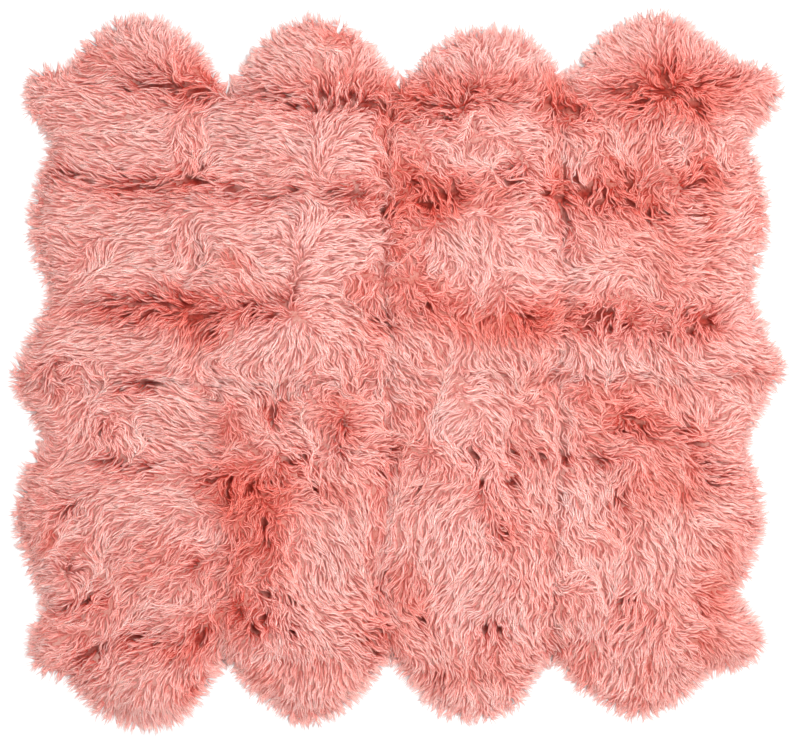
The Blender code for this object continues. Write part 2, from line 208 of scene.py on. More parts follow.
# Comb strokes: x, y, the way the tips point there in degrees anticlockwise from +X, and how
# curly the wool is, from 0 to 1.
STROKES = np.array((
    # far pelt 1: leg, neck and shoulders
    (-908, 749, 205, 0.3), (-877, 752, 150, 0.5), (-629, 534, 176, 0.25), (-870, 521, 152, 0.3),
    (-603, 868, 112, 0.2), (-540, 782, 80, 0.4), (-578, 762, 100, 0.5), (-705, 767, 150, 0.35),
    (-603, 741, 176, 0.3), (-730, 741, 178, 0.25), (-819, 752, 186, 0.3), (-522, 721, 215, 0.5),
    # far pelt 1: back
    (-806, 445, 160, 0.25), (-793, 414, 190, 0.2), (-730, 356, 184, 0.2), (-629, 343, 186, 0.2),
    (-844, 318, 150, 0.35), (-755, 285, 280, 0.4), (-730, 250, 180, 0.2), (-629, 209, 170, 0.3),
    (-591, 199, 150, 0.4),
    # far pelt 1: under the loin parting
    (-641, 103, 218, 0.3), (-532, 90, 252, 0.4), (-895, 65, 190, 0.2), (-781, 52, 190, 0.2),
    (-654, 52, 186, 0.2),
    # seam between the first two columns, far half
    (-515, 559, 275, 0.55), (-527, 318, 280, 0.5),
    # far pelt 2: neck and shoulders
    (-198, 858, 150, 0.35), (-147, 833, 215, 0.55), (-117, 850, 60, 0.4), (-286, 812, 160, 0.2),
    (-134, 774, 75, 0.3), (-172, 741, 125, 0.3), (-248, 711, 160, 0.3), (-134, 716, 70, 0.5),
    (-193, 716, 100, 0.4), (-324, 640, 172, 0.2), (-426, 584, 172, 0.2), (-248, 584, 160, 0.2),
    (-165, 610, 52, 0.3), (-109, 622, 12, 0.2), (-58, 559, 5, 0.3), (-203, 534, 100, 0.25),
    (-228, 508, 140, 0.3), (-172, 521, 25, 0.25), (-122, 513, 0, 0.25), (-274, 488, 200, 0.35),
    # far pelt 2: back
    (-451, 463, 172, 0.3), (-147, 463, 200, 0.35), (-345, 417, 195, 0.35), (-464, 369, 182, 0.2),
    (-279, 376, 150, 0.3), (-241, 361, 66, 0.3), (-147, 331, 0, 0.15), (-71, 343, 350, 0.2),
    (-324, 293, 200, 0.25), (-388, 260, 130, 0.5), (-312, 204, 135, 0.3), (-223, 209, 20, 0.3),
    (-122, 255, 20, 0.3), (-426, 184, 160, 0.3),
    # far pelt 2: under the loin parting
    (-401, 115, 228, 0.35), (-33, 115, 332, 0.35), (-477, 65, 212, 0.25), (-413, 52, 215, 0.25),
    (-350, 47, 222, 0.25), (-274, 32, 268, 0.25), (-134, 153, 350, 0.3),
    # seam between the middle columns, far half
    (-20, 635, 300, 0.7), (-33, 572, 250, 0.7), (-15, 521, 320, 0.75), (-46, 420, 20, 0.8),
    (-20, 394, 200, 0.85), (-58, 369, 330, 0.7), (-25, 331, 40, 0.75), (-33, 242, 100, 0.7),
    (-15, 293, 300, 0.75), (-106, 204, 225, 0.5), (-51, 199, 260, 0.7), (-8, 179, 217, 0.6),
    # far pelt 3: neck and shoulders
    (183, 858, 170, 0.4), (271, 868, 48, 0.25), (233, 825, 10, 0.4), (233, 787, 110, 0.4),
    (390, 757, 120, 0.35), (132, 724, 120, 0.5), (271, 721, 45, 0.5), (335, 716, 30, 0.45),
    (43, 673, 150, 0.5), (30, 640, 215, 0.6), (132, 655, 190, 0.45), (208, 671, 8, 0.4),
    (284, 676, 5, 0.4), (233, 648, 320, 0.4), (335, 597, 350, 0.35), (373, 640, 60, 0.6),
    # far pelt 3: back
    (68, 597, 20, 0.6), (132, 610, 340, 0.6), (183, 605, 60, 0.6), (30, 572, 160, 0.6),
    (195, 559, 240, 0.6), (289, 521, 200, 0.7), (335, 564, 10, 0.5), (183, 521, 20, 0.6),
    (43, 496, 330, 0.6), (106, 503, 300, 0.6), (30, 445, 200, 0.6), (81, 432, 320, 0.5),
    (132, 412, 310, 0.45), (43, 394, 150, 0.6), (86, 275, 240, 0.45), (144, 300, 320, 0.3),
    (172, 351, 250, 0.3), (183, 402, 10, 0.3), (213, 376, 290, 0.3), (223, 420, 60, 0.4),
    (183, 318, 320, 0.35), (246, 331, 262, 0.4), (284, 420, 15, 0.4), (309, 442, 350, 0.5),
    (271, 376, 5, 0.4), (360, 369, 300, 0.4), (322, 331, 30, 0.35), (284, 293, 300, 0.4),
    (373, 318, 8, 0.25), (335, 275, 295, 0.3), (144, 255, 260, 0.6), (106, 217, 60, 0.65),
    (144, 209, 200, 0.65), (195, 209, 310, 0.6), (233, 217, 250, 0.35), (271, 229, 60, 0.4),
    (322, 217, 330, 0.45), (30, 255, 120, 0.6), (18, 204, 260, 0.6), (68, 229, 300, 0.65),
    # far pelt 3: under the loin parting
    (43, 141, 330, 0.5), (195, 148, 210, 0.45), (398, 148, 20, 0.5), (157, 103, 300, 0.5),
    (221, 103, 290, 0.5), (284, 98, 270, 0.5), (183, 47, 262, 0.3), (309, 47, 292, 0.3),
    # seam between the last two columns, far half
    (423, 655, 160, 0.7), (411, 615, 260, 0.6), (398, 559, 240, 0.5), (418, 508, 280, 0.5),
    (401, 463, 20, 0.7), (423, 420, 300, 0.5), (436, 305, 210, 0.6), (441, 250, 320, 0.5),
    (423, 204, 20, 0.5),
    # far pelt 4: neck and shoulders
    (588, 850, 140, 0.35), (626, 883, 118, 0.2), (664, 894, 75, 0.2), (745, 818, 95, 0.3),
    (766, 863, 45, 0.2), (943, 749, 338, 0.25), (664, 749, 95, 0.55), (766, 749, 22, 0.4),
    (862, 726, 20, 0.3), (550, 673, 192, 0.4), (613, 660, 220, 0.5), (512, 648, 190, 0.4),
    (651, 640, 250, 0.5), (923, 665, 325, 0.25), (816, 635, 20, 0.3), (740, 673, 320, 0.45),
    (766, 640, 275, 0.35), (796, 597, 285, 0.3),
    # far pelt 4: back
    (461, 597, 330, 0.5), (487, 635, 20, 0.5), (449, 546, 285, 0.3), (487, 534, 200, 0.5),
    (537, 597, 300, 0.5), (601, 572, 247, 0.3), (542, 546, 310, 0.5), (639, 546, 255, 0.5),
    (715, 622, 220, 0.25), (690, 559, 38, 0.25), (740, 559, 222, 0.25), (854, 584, 30, 0.25),
    (880, 546, 32, 0.25), (829, 546, 242, 0.3), (702, 508, 25, 0.35), (753, 521, 60, 0.5),
    (867, 503, 20, 0.3), (563, 508, 315, 0.6), (512, 483, 300, 0.6), (677, 483, 200, 0.4),
    (804, 488, 320, 0.5), (525, 432, 230, 0.65), (575, 432, 320, 0.7), (626, 420, 260, 0.7),
    (563, 394, 330, 0.6), (664, 407, 330, 0.5), (811, 420, 340, 0.3), (905, 420, 40, 0.4),
    (740, 343, 10, 0.25), (651, 361, 350, 0.35), (575, 369, 20, 0.45), (537, 331, 300, 0.4),
    (474, 331, 330, 0.35), (816, 376, 20, 0.35), (880, 356, 40, 0.35), (905, 305, 330, 0.35),
    (487, 275, 345, 0.3), (690, 255, 318, 0.3), (525, 204, 60, 0.4), (740, 255, 18, 0.3),
    (664, 204, 300, 0.35), (740, 209, 325, 0.3),
    # far pelt 4: under the loin parting
    (487, 148, 30, 0.6), (537, 153, 200, 0.6), (639, 153, 20, 0.6), (740, 148, 200, 0.6),
    (487, 98, 320, 0.6), (542, 103, 220, 0.6), (778, 90, 270, 0.5), (821, 133, 45, 0.35),
    (880, 90, 335, 0.25), (968, 39, 318, 0.2), (829, 65, 350, 0.25), (512, 47, 275, 0.3),
    (639, 52, 288, 0.35),
    # near pelt 1: leg and flank
    (-933, -62, 175, 0.3), (-882, -57, 268, 0.4), (-852, -49, 312, 0.4), (-819, -11, 40, 0.6),
    (-781, -11, 320, 0.6), (-831, -80, 228, 0.5), (-908, -113, 165, 0.25), (-882, -202, 160, 0.3),
    (-831, -196, 225, 0.3), (-705, -80, 148, 0.4), (-735, -113, 200, 0.5), (-745, -164, 275, 0.5),
    (-715, -136, 10, 0.6), (-710, -176, 300, 0.5), (-735, -191, 225, 0.5), (-692, -156, 280, 0.5),
    (-692, -4, 180, 0.25), (-667, -55, 205, 0.35), (-591, -100, 148, 0.25), (-654, -176, 320, 0.3),
    (-629, -151, 165, 0.2), (-629, -214, 150, 0.3),
    # near pelt 1: loin
    (-857, -240, 205, 0.3), (-755, -242, 186, 0.3), (-629, -252, 190, 0.3), (-857, -283, 172, 0.25),
    (-705, -323, 184, 0.2), (-781, -359, 230, 0.5), (-946, -379, 176, 0.25), (-877, -417, 262, 0.5),
    (-806, -404, 205, 0.35), (-819, -450, 215, 0.5), (-730, -455, 206, 0.5),
    # near pelt 1: rump and leg
    (-895, -480, 200, 0.3), (-852, -475, 120, 0.4), (-801, -485, 20, 0.5), (-811, -518, 330, 0.4),
    (-857, -556, 185, 0.25), (-781, -480, 300, 0.5), (-735, -501, 262, 0.5), (-679, -511, 200, 0.5),
    (-755, -551, 210, 0.5), (-591, -556, 230, 0.5), (-679, -607, 240, 0.5), (-603, -602, 200, 0.5),
    (-641, -645, 185, 0.35), (-730, -645, 250, 0.5), (-857, -683, 180, 0.5), (-793, -683, 230, 0.5),
    (-920, -734, 212, 0.25), (-781, -823, 228, 0.2), (-565, -873, 280, 0.15), (-537, -747, 242, 0.35),
    (-497, -785, 290, 0.4),
    # near pelt 2: flank
    (-439, -19, 340, 0.25), (-477, -125, 155, 0.25), (-464, -176, 158, 0.3), (-337, -37, 335, 0.3),
    (-286, -49, 250, 0.4), (-248, -24, 200, 0.55), (-198, -44, 30, 0.6), (-134, -44, 320, 0.6),
    (-71, -44, 200, 0.6), (-25, -49, 300, 0.6), (-312, -125, 260, 0.6), (-388, -138, 330, 0.5),
    (-421, -164, 280, 0.6), (-274, -100, 10, 0.4), (-274, -156, 18, 0.35), (-210, -113, 200, 0.5),
    (-218, -151, 290, 0.35), (-177, -138, 245, 0.45), (-160, -100, 150, 0.6), (-109, -100, 15, 0.3),
    (-58, -105, 345, 0.4), (-20, -125, 230, 0.5), (-66, -189, 20, 0.35), (-401, -202, 200, 0.7),
    (-345, -181, 20, 0.6), (-286, -189, 300, 0.7), (-254, -207, 330, 0.6), (-198, -202, 240, 0.6),
    (-15, -176, 20, 0.5),
    # near pelt 2: loin
    (-464, -273, 180, 0.5), (-401, -247, 200, 0.6), (-345, -240, 240, 0.5), (-413, -303, 260, 0.7),
    (-299, -283, 320, 0.7), (-261, -265, 340, 0.5), (-210, -265, 270, 0.5), (-160, -252, 300, 0.4),
    (-46, -265, 285, 0.45), (-58, -214, 350, 0.4), (-312, -333, 30, 0.6), (-248, -316, 20, 0.5),
    (-401, -354, 240, 0.7), (-345, -359, 270, 0.7), (-477, -341, 182, 0.4), (-446, -392, 255, 0.4),
    (-274, -404, 245, 0.6), (-223, -379, 335, 0.35), (-198, -417, 300, 0.35),
    # near pelt 2: rump
    (-477, -480, 190, 0.5), (-489, -556, 268, 0.5), (-413, -511, 250, 0.7), (-355, -518, 200, 0.6),
    (-439, -582, 220, 0.7), (-388, -569, 60, 0.6), (-330, -562, 320, 0.6), (-185, -493, 285, 0.3),
    (-248, -556, 290, 0.35), (-345, -612, 265, 0.6), (-210, -607, 322, 0.3), (-134, -612, 338, 0.4),
    (-84, -663, 335, 0.4), (-33, -645, 300, 0.5), (-198, -797, 270, 0.2), (-337, -810, 240, 0.25),
    (-134, -835, 300, 0.2), (-439, -721, 240, 0.3),
    # near pelt 3: flank
    (35, -80, 322, 0.4), (5, -125, 328, 0.4), (86, -138, 245, 0.3), (94, -24, 340, 0.5),
    (132, -37, 195, 0.45), (195, -37, 20, 0.4), (144, -105, 200, 0.3), (188, -75, 355, 0.3),
    (183, -125, 195, 0.3), (170, -171, 200, 0.4), (233, -62, 305, 0.35), (238, -113, 310, 0.4),
    (228, -176, 330, 0.5), (284, -146, 260, 0.4), (335, -105, 345, 0.3), (322, -176, 340, 0.35),
    (360, -125, 280, 0.5), (365, -75, 60, 0.5), (390, -75, 290, 0.4), (360, -24, 200, 0.5),
    (106, -202, 320, 0.6), (43, -214, 200, 0.7), (81, -252, 260, 0.6), (170, -227, 330, 0.4),
    (221, -252, 225, 0.5), (271, -240, 300, 0.5), (335, -252, 265, 0.4), (309, -283, 310, 0.5),
    # near pelt 3: loin
    (35, -308, 210, 0.4), (106, -303, 212, 0.4), (170, -303, 222, 0.4), (43, -404, 262, 0.45),
    (271, -417, 305, 0.5), (335, -404, 300, 0.5), (385, -417, 270, 0.6),
    # near pelt 3: rump
    (30, -518, 240, 0.5), (68, -518, 310, 0.4), (106, -506, 240, 0.35), (233, -506, 242, 0.3),
    (309, -506, 290, 0.35), (373, -506, 265, 0.4), (94, -577, 235, 0.4), (221, -577, 225, 0.4),
    (284, -562, 245, 0.45), (335, -556, 290, 0.4), (56, -632, 320, 0.5), (106, -638, 245, 0.5),
    (360, -632, 246, 0.5), (81, -696, 305, 0.35), (208, -703, 268, 0.5), (314, -709, 315, 0.4),
    (373, -703, 320, 0.4), (68, -810, 238, 0.2),
    # near pelt 4: flank
    (449, -49, 200, 0.5), (499, -37, 330, 0.45), (487, -100, 345, 0.35), (441, -164, 250, 0.6),
    (487, -164, 350, 0.35), (563, -37, 210, 0.45), (613, -24, 335, 0.4), (575, -80, 20, 0.5),
    (537, -125, 180, 0.5), (593, -120, 310, 0.6), (651, -125, 340, 0.5), (690, -75, 300, 0.35),
    (735, -75, 318, 0.3), (778, -105, 238, 0.4), (816, -125, 38, 0.3), (728, -151, 350, 0.45),
    (563, -202, 352, 0.35), (639, -207, 342, 0.35), (474, -214, 335, 0.4), (905, -37, 320, 0.4),
    (918, -70, 350, 0.3), (796, -4, 350, 0.5),
    # near pelt 4: loin
    (436, -265, 270, 0.5), (487, -278, 310, 0.45), (575, -265, 240, 0.4), (695, -252, 318, 0.35),
    (677, -328, 315, 0.35), (728, -303, 250, 0.5), (816, -247, 0, 0.25), (601, -359, 310, 0.45),
    (715, -366, 290, 0.35), (766, -341, 340, 0.3), (829, -354, 350, 0.25), (542, -417, 310, 0.4),
    (608, -404, 270, 0.45), (905, -404, 345, 0.2),
    # near pelt 4: rump and leg
    (436, -480, 262, 0.5), (487, -468, 300, 0.4), (537, -480, 268, 0.45), (651, -468, 292, 0.35),
    (829, -475, 300, 0.3), (449, -531, 40, 0.7), (613, -531, 255, 0.4), (677, -544, 272, 0.3),
    (735, -544, 330, 0.35), (786, -544, 345, 0.35), (461, -594, 268, 0.45), (575, -582, 225, 0.5),
    (626, -594, 300, 0.5), (568, -653, 220, 0.4), (634, -645, 252, 0.45), (905, -663, 345, 0.15),
    (568, -709, 262, 0.4), (740, -696, 350, 0.6), (796, -739, 315, 0.25), (677, -764, 272, 0.35),
    (537, -823, 245, 0.3), (715, -810, 300, 0.2), (398, -620, 290, 0.5), (474, -747, 250, 0.35),
))

# Gaps: the dark openings between locks, down to the dense wool. x, y, length, width, degrees
# anticlockwise from +X, and depth from 0 to 1.
GAPS = (
    # the parting across the necks
    (-603, 719, 117, 13, 2, 1), (-690, 716, 46, 8, 0, 0.6), (-791, 729, 51, 8, -8, 0.6),
    (-634, 754, 91, 5, 3, 0.45), (-507, 706, 66, 20, 12, 1), (-570, 693, 41, 10, 25, 0.6),
    (-489, 678, 35, 8, 0, 0.6), (-345, 711, 51, 8, 0, 0.5), (-337, 683, 66, 10, 0, 0.6),
    (-269, 693, 91, 8, -3, 0.6), (-266, 671, 46, 10, 5, 0.8), (-193, 698, 35, 13, 40, 0.8),
    (-215, 658, 35, 10, -20, 0.8), (-170, 663, 20, 13, 20, 0.8), (-139, 678, 30, 10, -15, 0.8),
    (-122, 696, 23, 15, 60, 0.9), (-81, 673, 46, 15, 5, 1), (-35, 671, 30, 10, -20, 0.7),
    (-56, 650, 20, 13, -30, 0.6), (-18, 645, 30, 10, -50, 0.6), (53, 681, 30, 10, -15, 0.6),
    (81, 673, 46, 10, -5, 0.7), (132, 663, 61, 10, 3, 0.7), (43, 648, 30, 10, -30, 0.7),
    (8, 640, 20, 15, -50, 0.6), (124, 632, 30, 10, 15, 0.6), (114, 709, 20, 15, 0, 0.6),
    (157, 716, 20, 15, 0, 0.6), (193, 703, 25, 13, 20, 0.6), (271, 719, 35, 13, 15, 0.5),
    (177, 681, 20, 13, -30, 0.6), (241, 676, 46, 8, 10, 0.5), (380, 681, 25, 10, 0, 0.7),
    (413, 668, 35, 15, 0, 0.9), (390, 648, 20, 13, -30, 0.7), (451, 663, 25, 10, 0, 0.7),
    (466, 648, 25, 10, -60, 0.6), (553, 706, 41, 13, 0, 0.8), (593, 721, 41, 10, -30, 0.7),
    (613, 678, 41, 20, 10, 1), (603, 658, 30, 10, 20, 0.6), (669, 706, 66, 13, -3, 0.9),
    (674, 741, 30, 18, -20, 0.7), (687, 772, 23, 13, 80, 0.7), (753, 673, 46, 13, 10, 0.8),
    (771, 658, 25, 13, 40, 0.6), (776, 729, 56, 13, 15, 0.7), (725, 721, 30, 10, 20, 0.6),
    (857, 741, 35, 10, 35, 0.6), (796, 691, 46, 8, 20, 0.5), (664, 615, 46, 10, -20, 0.4),
    # the parting across the withers
    (-847, 506, 61, 10, -30, 0.6), (-882, 493, 35, 10, -10, 0.6), (-799, 480, 51, 8, -25, 0.5),
    (-705, 488, 61, 8, 0, 0.4), (-682, 460, 71, 18, 8, 0.9), (-624, 463, 35, 13, -10, 0.8),
    (-603, 483, 76, 8, 3, 0.6), (-515, 478, 66, 15, -8, 1), (-558, 435, 76, 8, 8, 0.5),
    (-484, 503, 30, 10, -35, 0.6), (-423, 458, 41, 15, -15, 0.9), (-390, 435, 30, 10, 0, 0.6),
    (-324, 435, 30, 10, 0, 0.7), (-261, 455, 35, 10, 15, 0.8), (-172, 450, 41, 8, 5, 0.6),
    (-127, 445, 41, 10, 10, 0.9), (-91, 440, 30, 10, 0, 0.6), (-35, 397, 25, 13, 60, 0.9),
    (-8, 412, 25, 15, 60, 0.6), (43, 478, 35, 10, 0, 0.7), (124, 475, 30, 10, -20, 0.6),
    (68, 450, 25, 10, -20, 0.6), (114, 442, 35, 15, -20, 0.8), (144, 450, 35, 10, 25, 0.7),
    (68, 420, 61, 10, -5, 0.9), (99, 414, 20, 13, -50, 0.7), (289, 475, 30, 15, 0, 0.9),
    (375, 445, 30, 13, 20, 0.8), (416, 432, 46, 10, -5, 0.9), (474, 447, 51, 20, 10, 1),
    (502, 422, 35, 10, 15, 0.7), (449, 485, 30, 10, -20, 0.7), (297, 506, 41, 8, -10, 0.5),
    (522, 452, 25, 15, -40, 0.8), (542, 432, 35, 10, -50, 0.7), (586, 468, 30, 15, -30, 0.8),
    (588, 425, 41, 13, -10, 0.8), (634, 394, 30, 13, 20, 0.7), (677, 389, 25, 10, -45, 0.6),
    (740, 468, 35, 10, 20, 0.7), (766, 480, 46, 10, 10, 0.7), (748, 404, 41, 8, -15, 0.5),
    (758, 508, 25, 10, 30, 0.6), (421, 392, 51, 8, 100, 0.5), (418, 336, 46, 10, 95, 0.6),
    (586, 498, 35, 10, -50, 0.6),
    # the parting across the loins
    (-730, 179, 96, 8, 0, 0.6), (-629, 181, 56, 8, 3, 0.8), (-667, 171, 41, 8, 20, 0.7),
    (-722, 161, 35, 10, 0, 0.9), (-596, 169, 46, 10, -15, 0.9), (-540, 171, 46, 13, -35, 1),
    (-629, 153, 35, 8, 20, 0.7), (-692, 138, 35, 10, 0, 0.8), (-634, 143, 46, 8, 20, 0.8),
    (-578, 138, 46, 8, 5, 0.7), (-510, 136, 56, 13, -5, 0.9), (-667, 123, 46, 8, 35, 0.5),
    (-472, 143, 41, 13, 5, 0.9), (-472, 95, 30, 15, 40, 0.8), (-456, 120, 25, 13, 60, 0.7),
    (-365, 143, 33, 13, 35, 1), (-324, 136, 33, 13, 10, 0.9), (-286, 169, 35, 10, 30, 0.7),
    (-401, 171, 51, 8, -10, 0.6), (-363, 164, 35, 8, 0, 0.6), (-51, 128, 30, 13, -20, 0.7),
    (-30, 120, 25, 8, 0, 0.8), (76, 164, 25, 10, 0, 0.7), (330, 136, 30, 10, 0, 0.8),
    (324, 108, 25, 10, 0, 0.6), (474, 138, 25, 13, 5, 1), (507, 138, 20, 13, 0, 0.9),
    (482, 108, 23, 13, 60, 0.8), (527, 143, 35, 13, 20, 0.9), (573, 115, 25, 13, 20, 0.9),
    (535, 108, 20, 13, 0, 0.7), (634, 158, 35, 10, -15, 0.5), (677, 169, 30, 10, -15, 0.6),
    (634, 82, 25, 10, 0, 0.6), (674, 87, 25, 10, 35, 0.6), (740, 95, 20, 13, 50, 0.7),
    (740, 143, 25, 10, -30, 0.6), (778, 123, 41, 15, 0, 0.9),
    # the flanks and the short partings over the near pelts
    (-882, 14, 66, 5, 5, 0.5), (-634, -34, 46, 8, 3, 1), (-690, -47, 25, 8, 30, 0.8),
    (-750, -146, 35, 10, -70, 0.6), (-730, -227, 41, 8, 5, 0.8), (-705, -245, 25, 8, 0, 0.8),
    (-634, -247, 41, 10, 10, 0.8), (-837, -349, 41, 8, 35, 0.6), (-319, -108, 51, 10, 100, 0.7),
    (-271, -234, 35, 5, -8, 0.8), (-238, -217, 20, 10, 70, 0.7), (-139, -194, 46, 8, 95, 0.6),
    (-142, -146, 51, 8, 90, 0.5), (-472, -275, 51, 8, 5, 0.8), (-426, -278, 20, 13, 0, 0.9),
    (-428, -311, 46, 10, 100, 0.7), (-375, -295, 25, 18, 0, 0.8), (-345, -290, 20, 15, 0, 0.6),
    (-319, -283, 30, 10, -60, 0.7), (-208, -300, 18, 13, 70, 0.8), (-18, -199, 20, 10, 0, 0.8),
    (-18, -219, 25, 10, 0, 0.8), (-35, -265, 20, 13, -50, 0.9), (195, -214, 35, 8, -8, 0.9),
    (297, -212, 41, 8, -10, 0.7), (363, -214, 25, 10, 10, 0.7), (423, -224, 20, 13, 0, 1),
    (510, -224, 61, 5, 3, 0.8), (210, -288, 15, 10, 20, 0.9), (289, -285, 25, 10, 10, 0.9),
    (56, -295, 25, 13, 20, 0.5), (583, -118, 25, 13, 0, 0.7), (575, -156, 35, 8, -10, 0.8),
    (621, -151, 41, 10, -35, 0.7), (725, -151, 30, 8, 0, 0.7), (745, -184, 35, 8, -10, 0.7),
    (783, -234, 41, 5, 5, 0.8), (834, -270, 25, 8, 0, 0.8), (796, -288, 30, 8, 0, 0.7),
    (880, -394, 35, 10, -10, 0.6), (558, -326, 20, 13, 60, 0.6), (-337, -404, 66, 8, 95, 0.8),
    (-408, -442, 20, 13, 70, 0.6), (266, -404, 61, 10, -65, 0.6),
    # the rumps
    (-831, -498, 25, 13, 30, 0.6), (-755, -574, 66, 8, 20, 0.5), (-791, -587, 46, 5, 15, 0.7),
    (-831, -600, 51, 5, 15, 0.6), (-662, -673, 46, 13, -3, 1), (-613, -691, 20, 13, 50, 0.7),
    (-507, -683, 25, 20, -20, 1), (-532, -696, 46, 8, 5, 0.6), (-570, -711, 30, 10, 50, 0.6),
    (-700, -729, 46, 10, 20, 0.6), (-801, -724, 20, 13, 0, 0.8), (-771, -709, 61, 8, 35, 0.8),
    (-781, -777, 41, 8, 30, 0.5), (-522, -810, 20, 13, 80, 0.6), (-520, -488, 25, 10, 30, 0.6),
    (-408, -612, 25, 18, 0, 0.6), (-494, -668, 25, 20, 90, 0.8), (-363, -653, 23, 18, -30, 0.9),
    (-337, -622, 20, 13, 70, 0.8), (-264, -660, 20, 13, 0, 0.9), (-330, -567, 35, 8, 15, 0.7),
    (-269, -594, 35, 8, -75, 0.6), (-84, -676, 35, 8, 10, 0.6), (-46, -645, 20, 13, -60, 0.6),
    (-56, -716, 30, 8, -55, 0.8), (-43, -544, 51, 10, 80, 0.6), (61, -630, 25, 13, -10, 0.7),
    (221, -653, 25, 10, 10, 0.9), (254, -653, 20, 8, 0, 0.9), (106, -780, 41, 8, -20, 0.6),
    (385, -709, 30, 13, -40, 0.6), (449, -696, 30, 13, 60, 0.5), (575, -582, 35, 8, 5, 0.6),
    (550, -671, 56, 8, 37, 0.6), (634, -650, 25, 10, 70, 0.6), (781, -592, 25, 10, 0, 0.6),
)

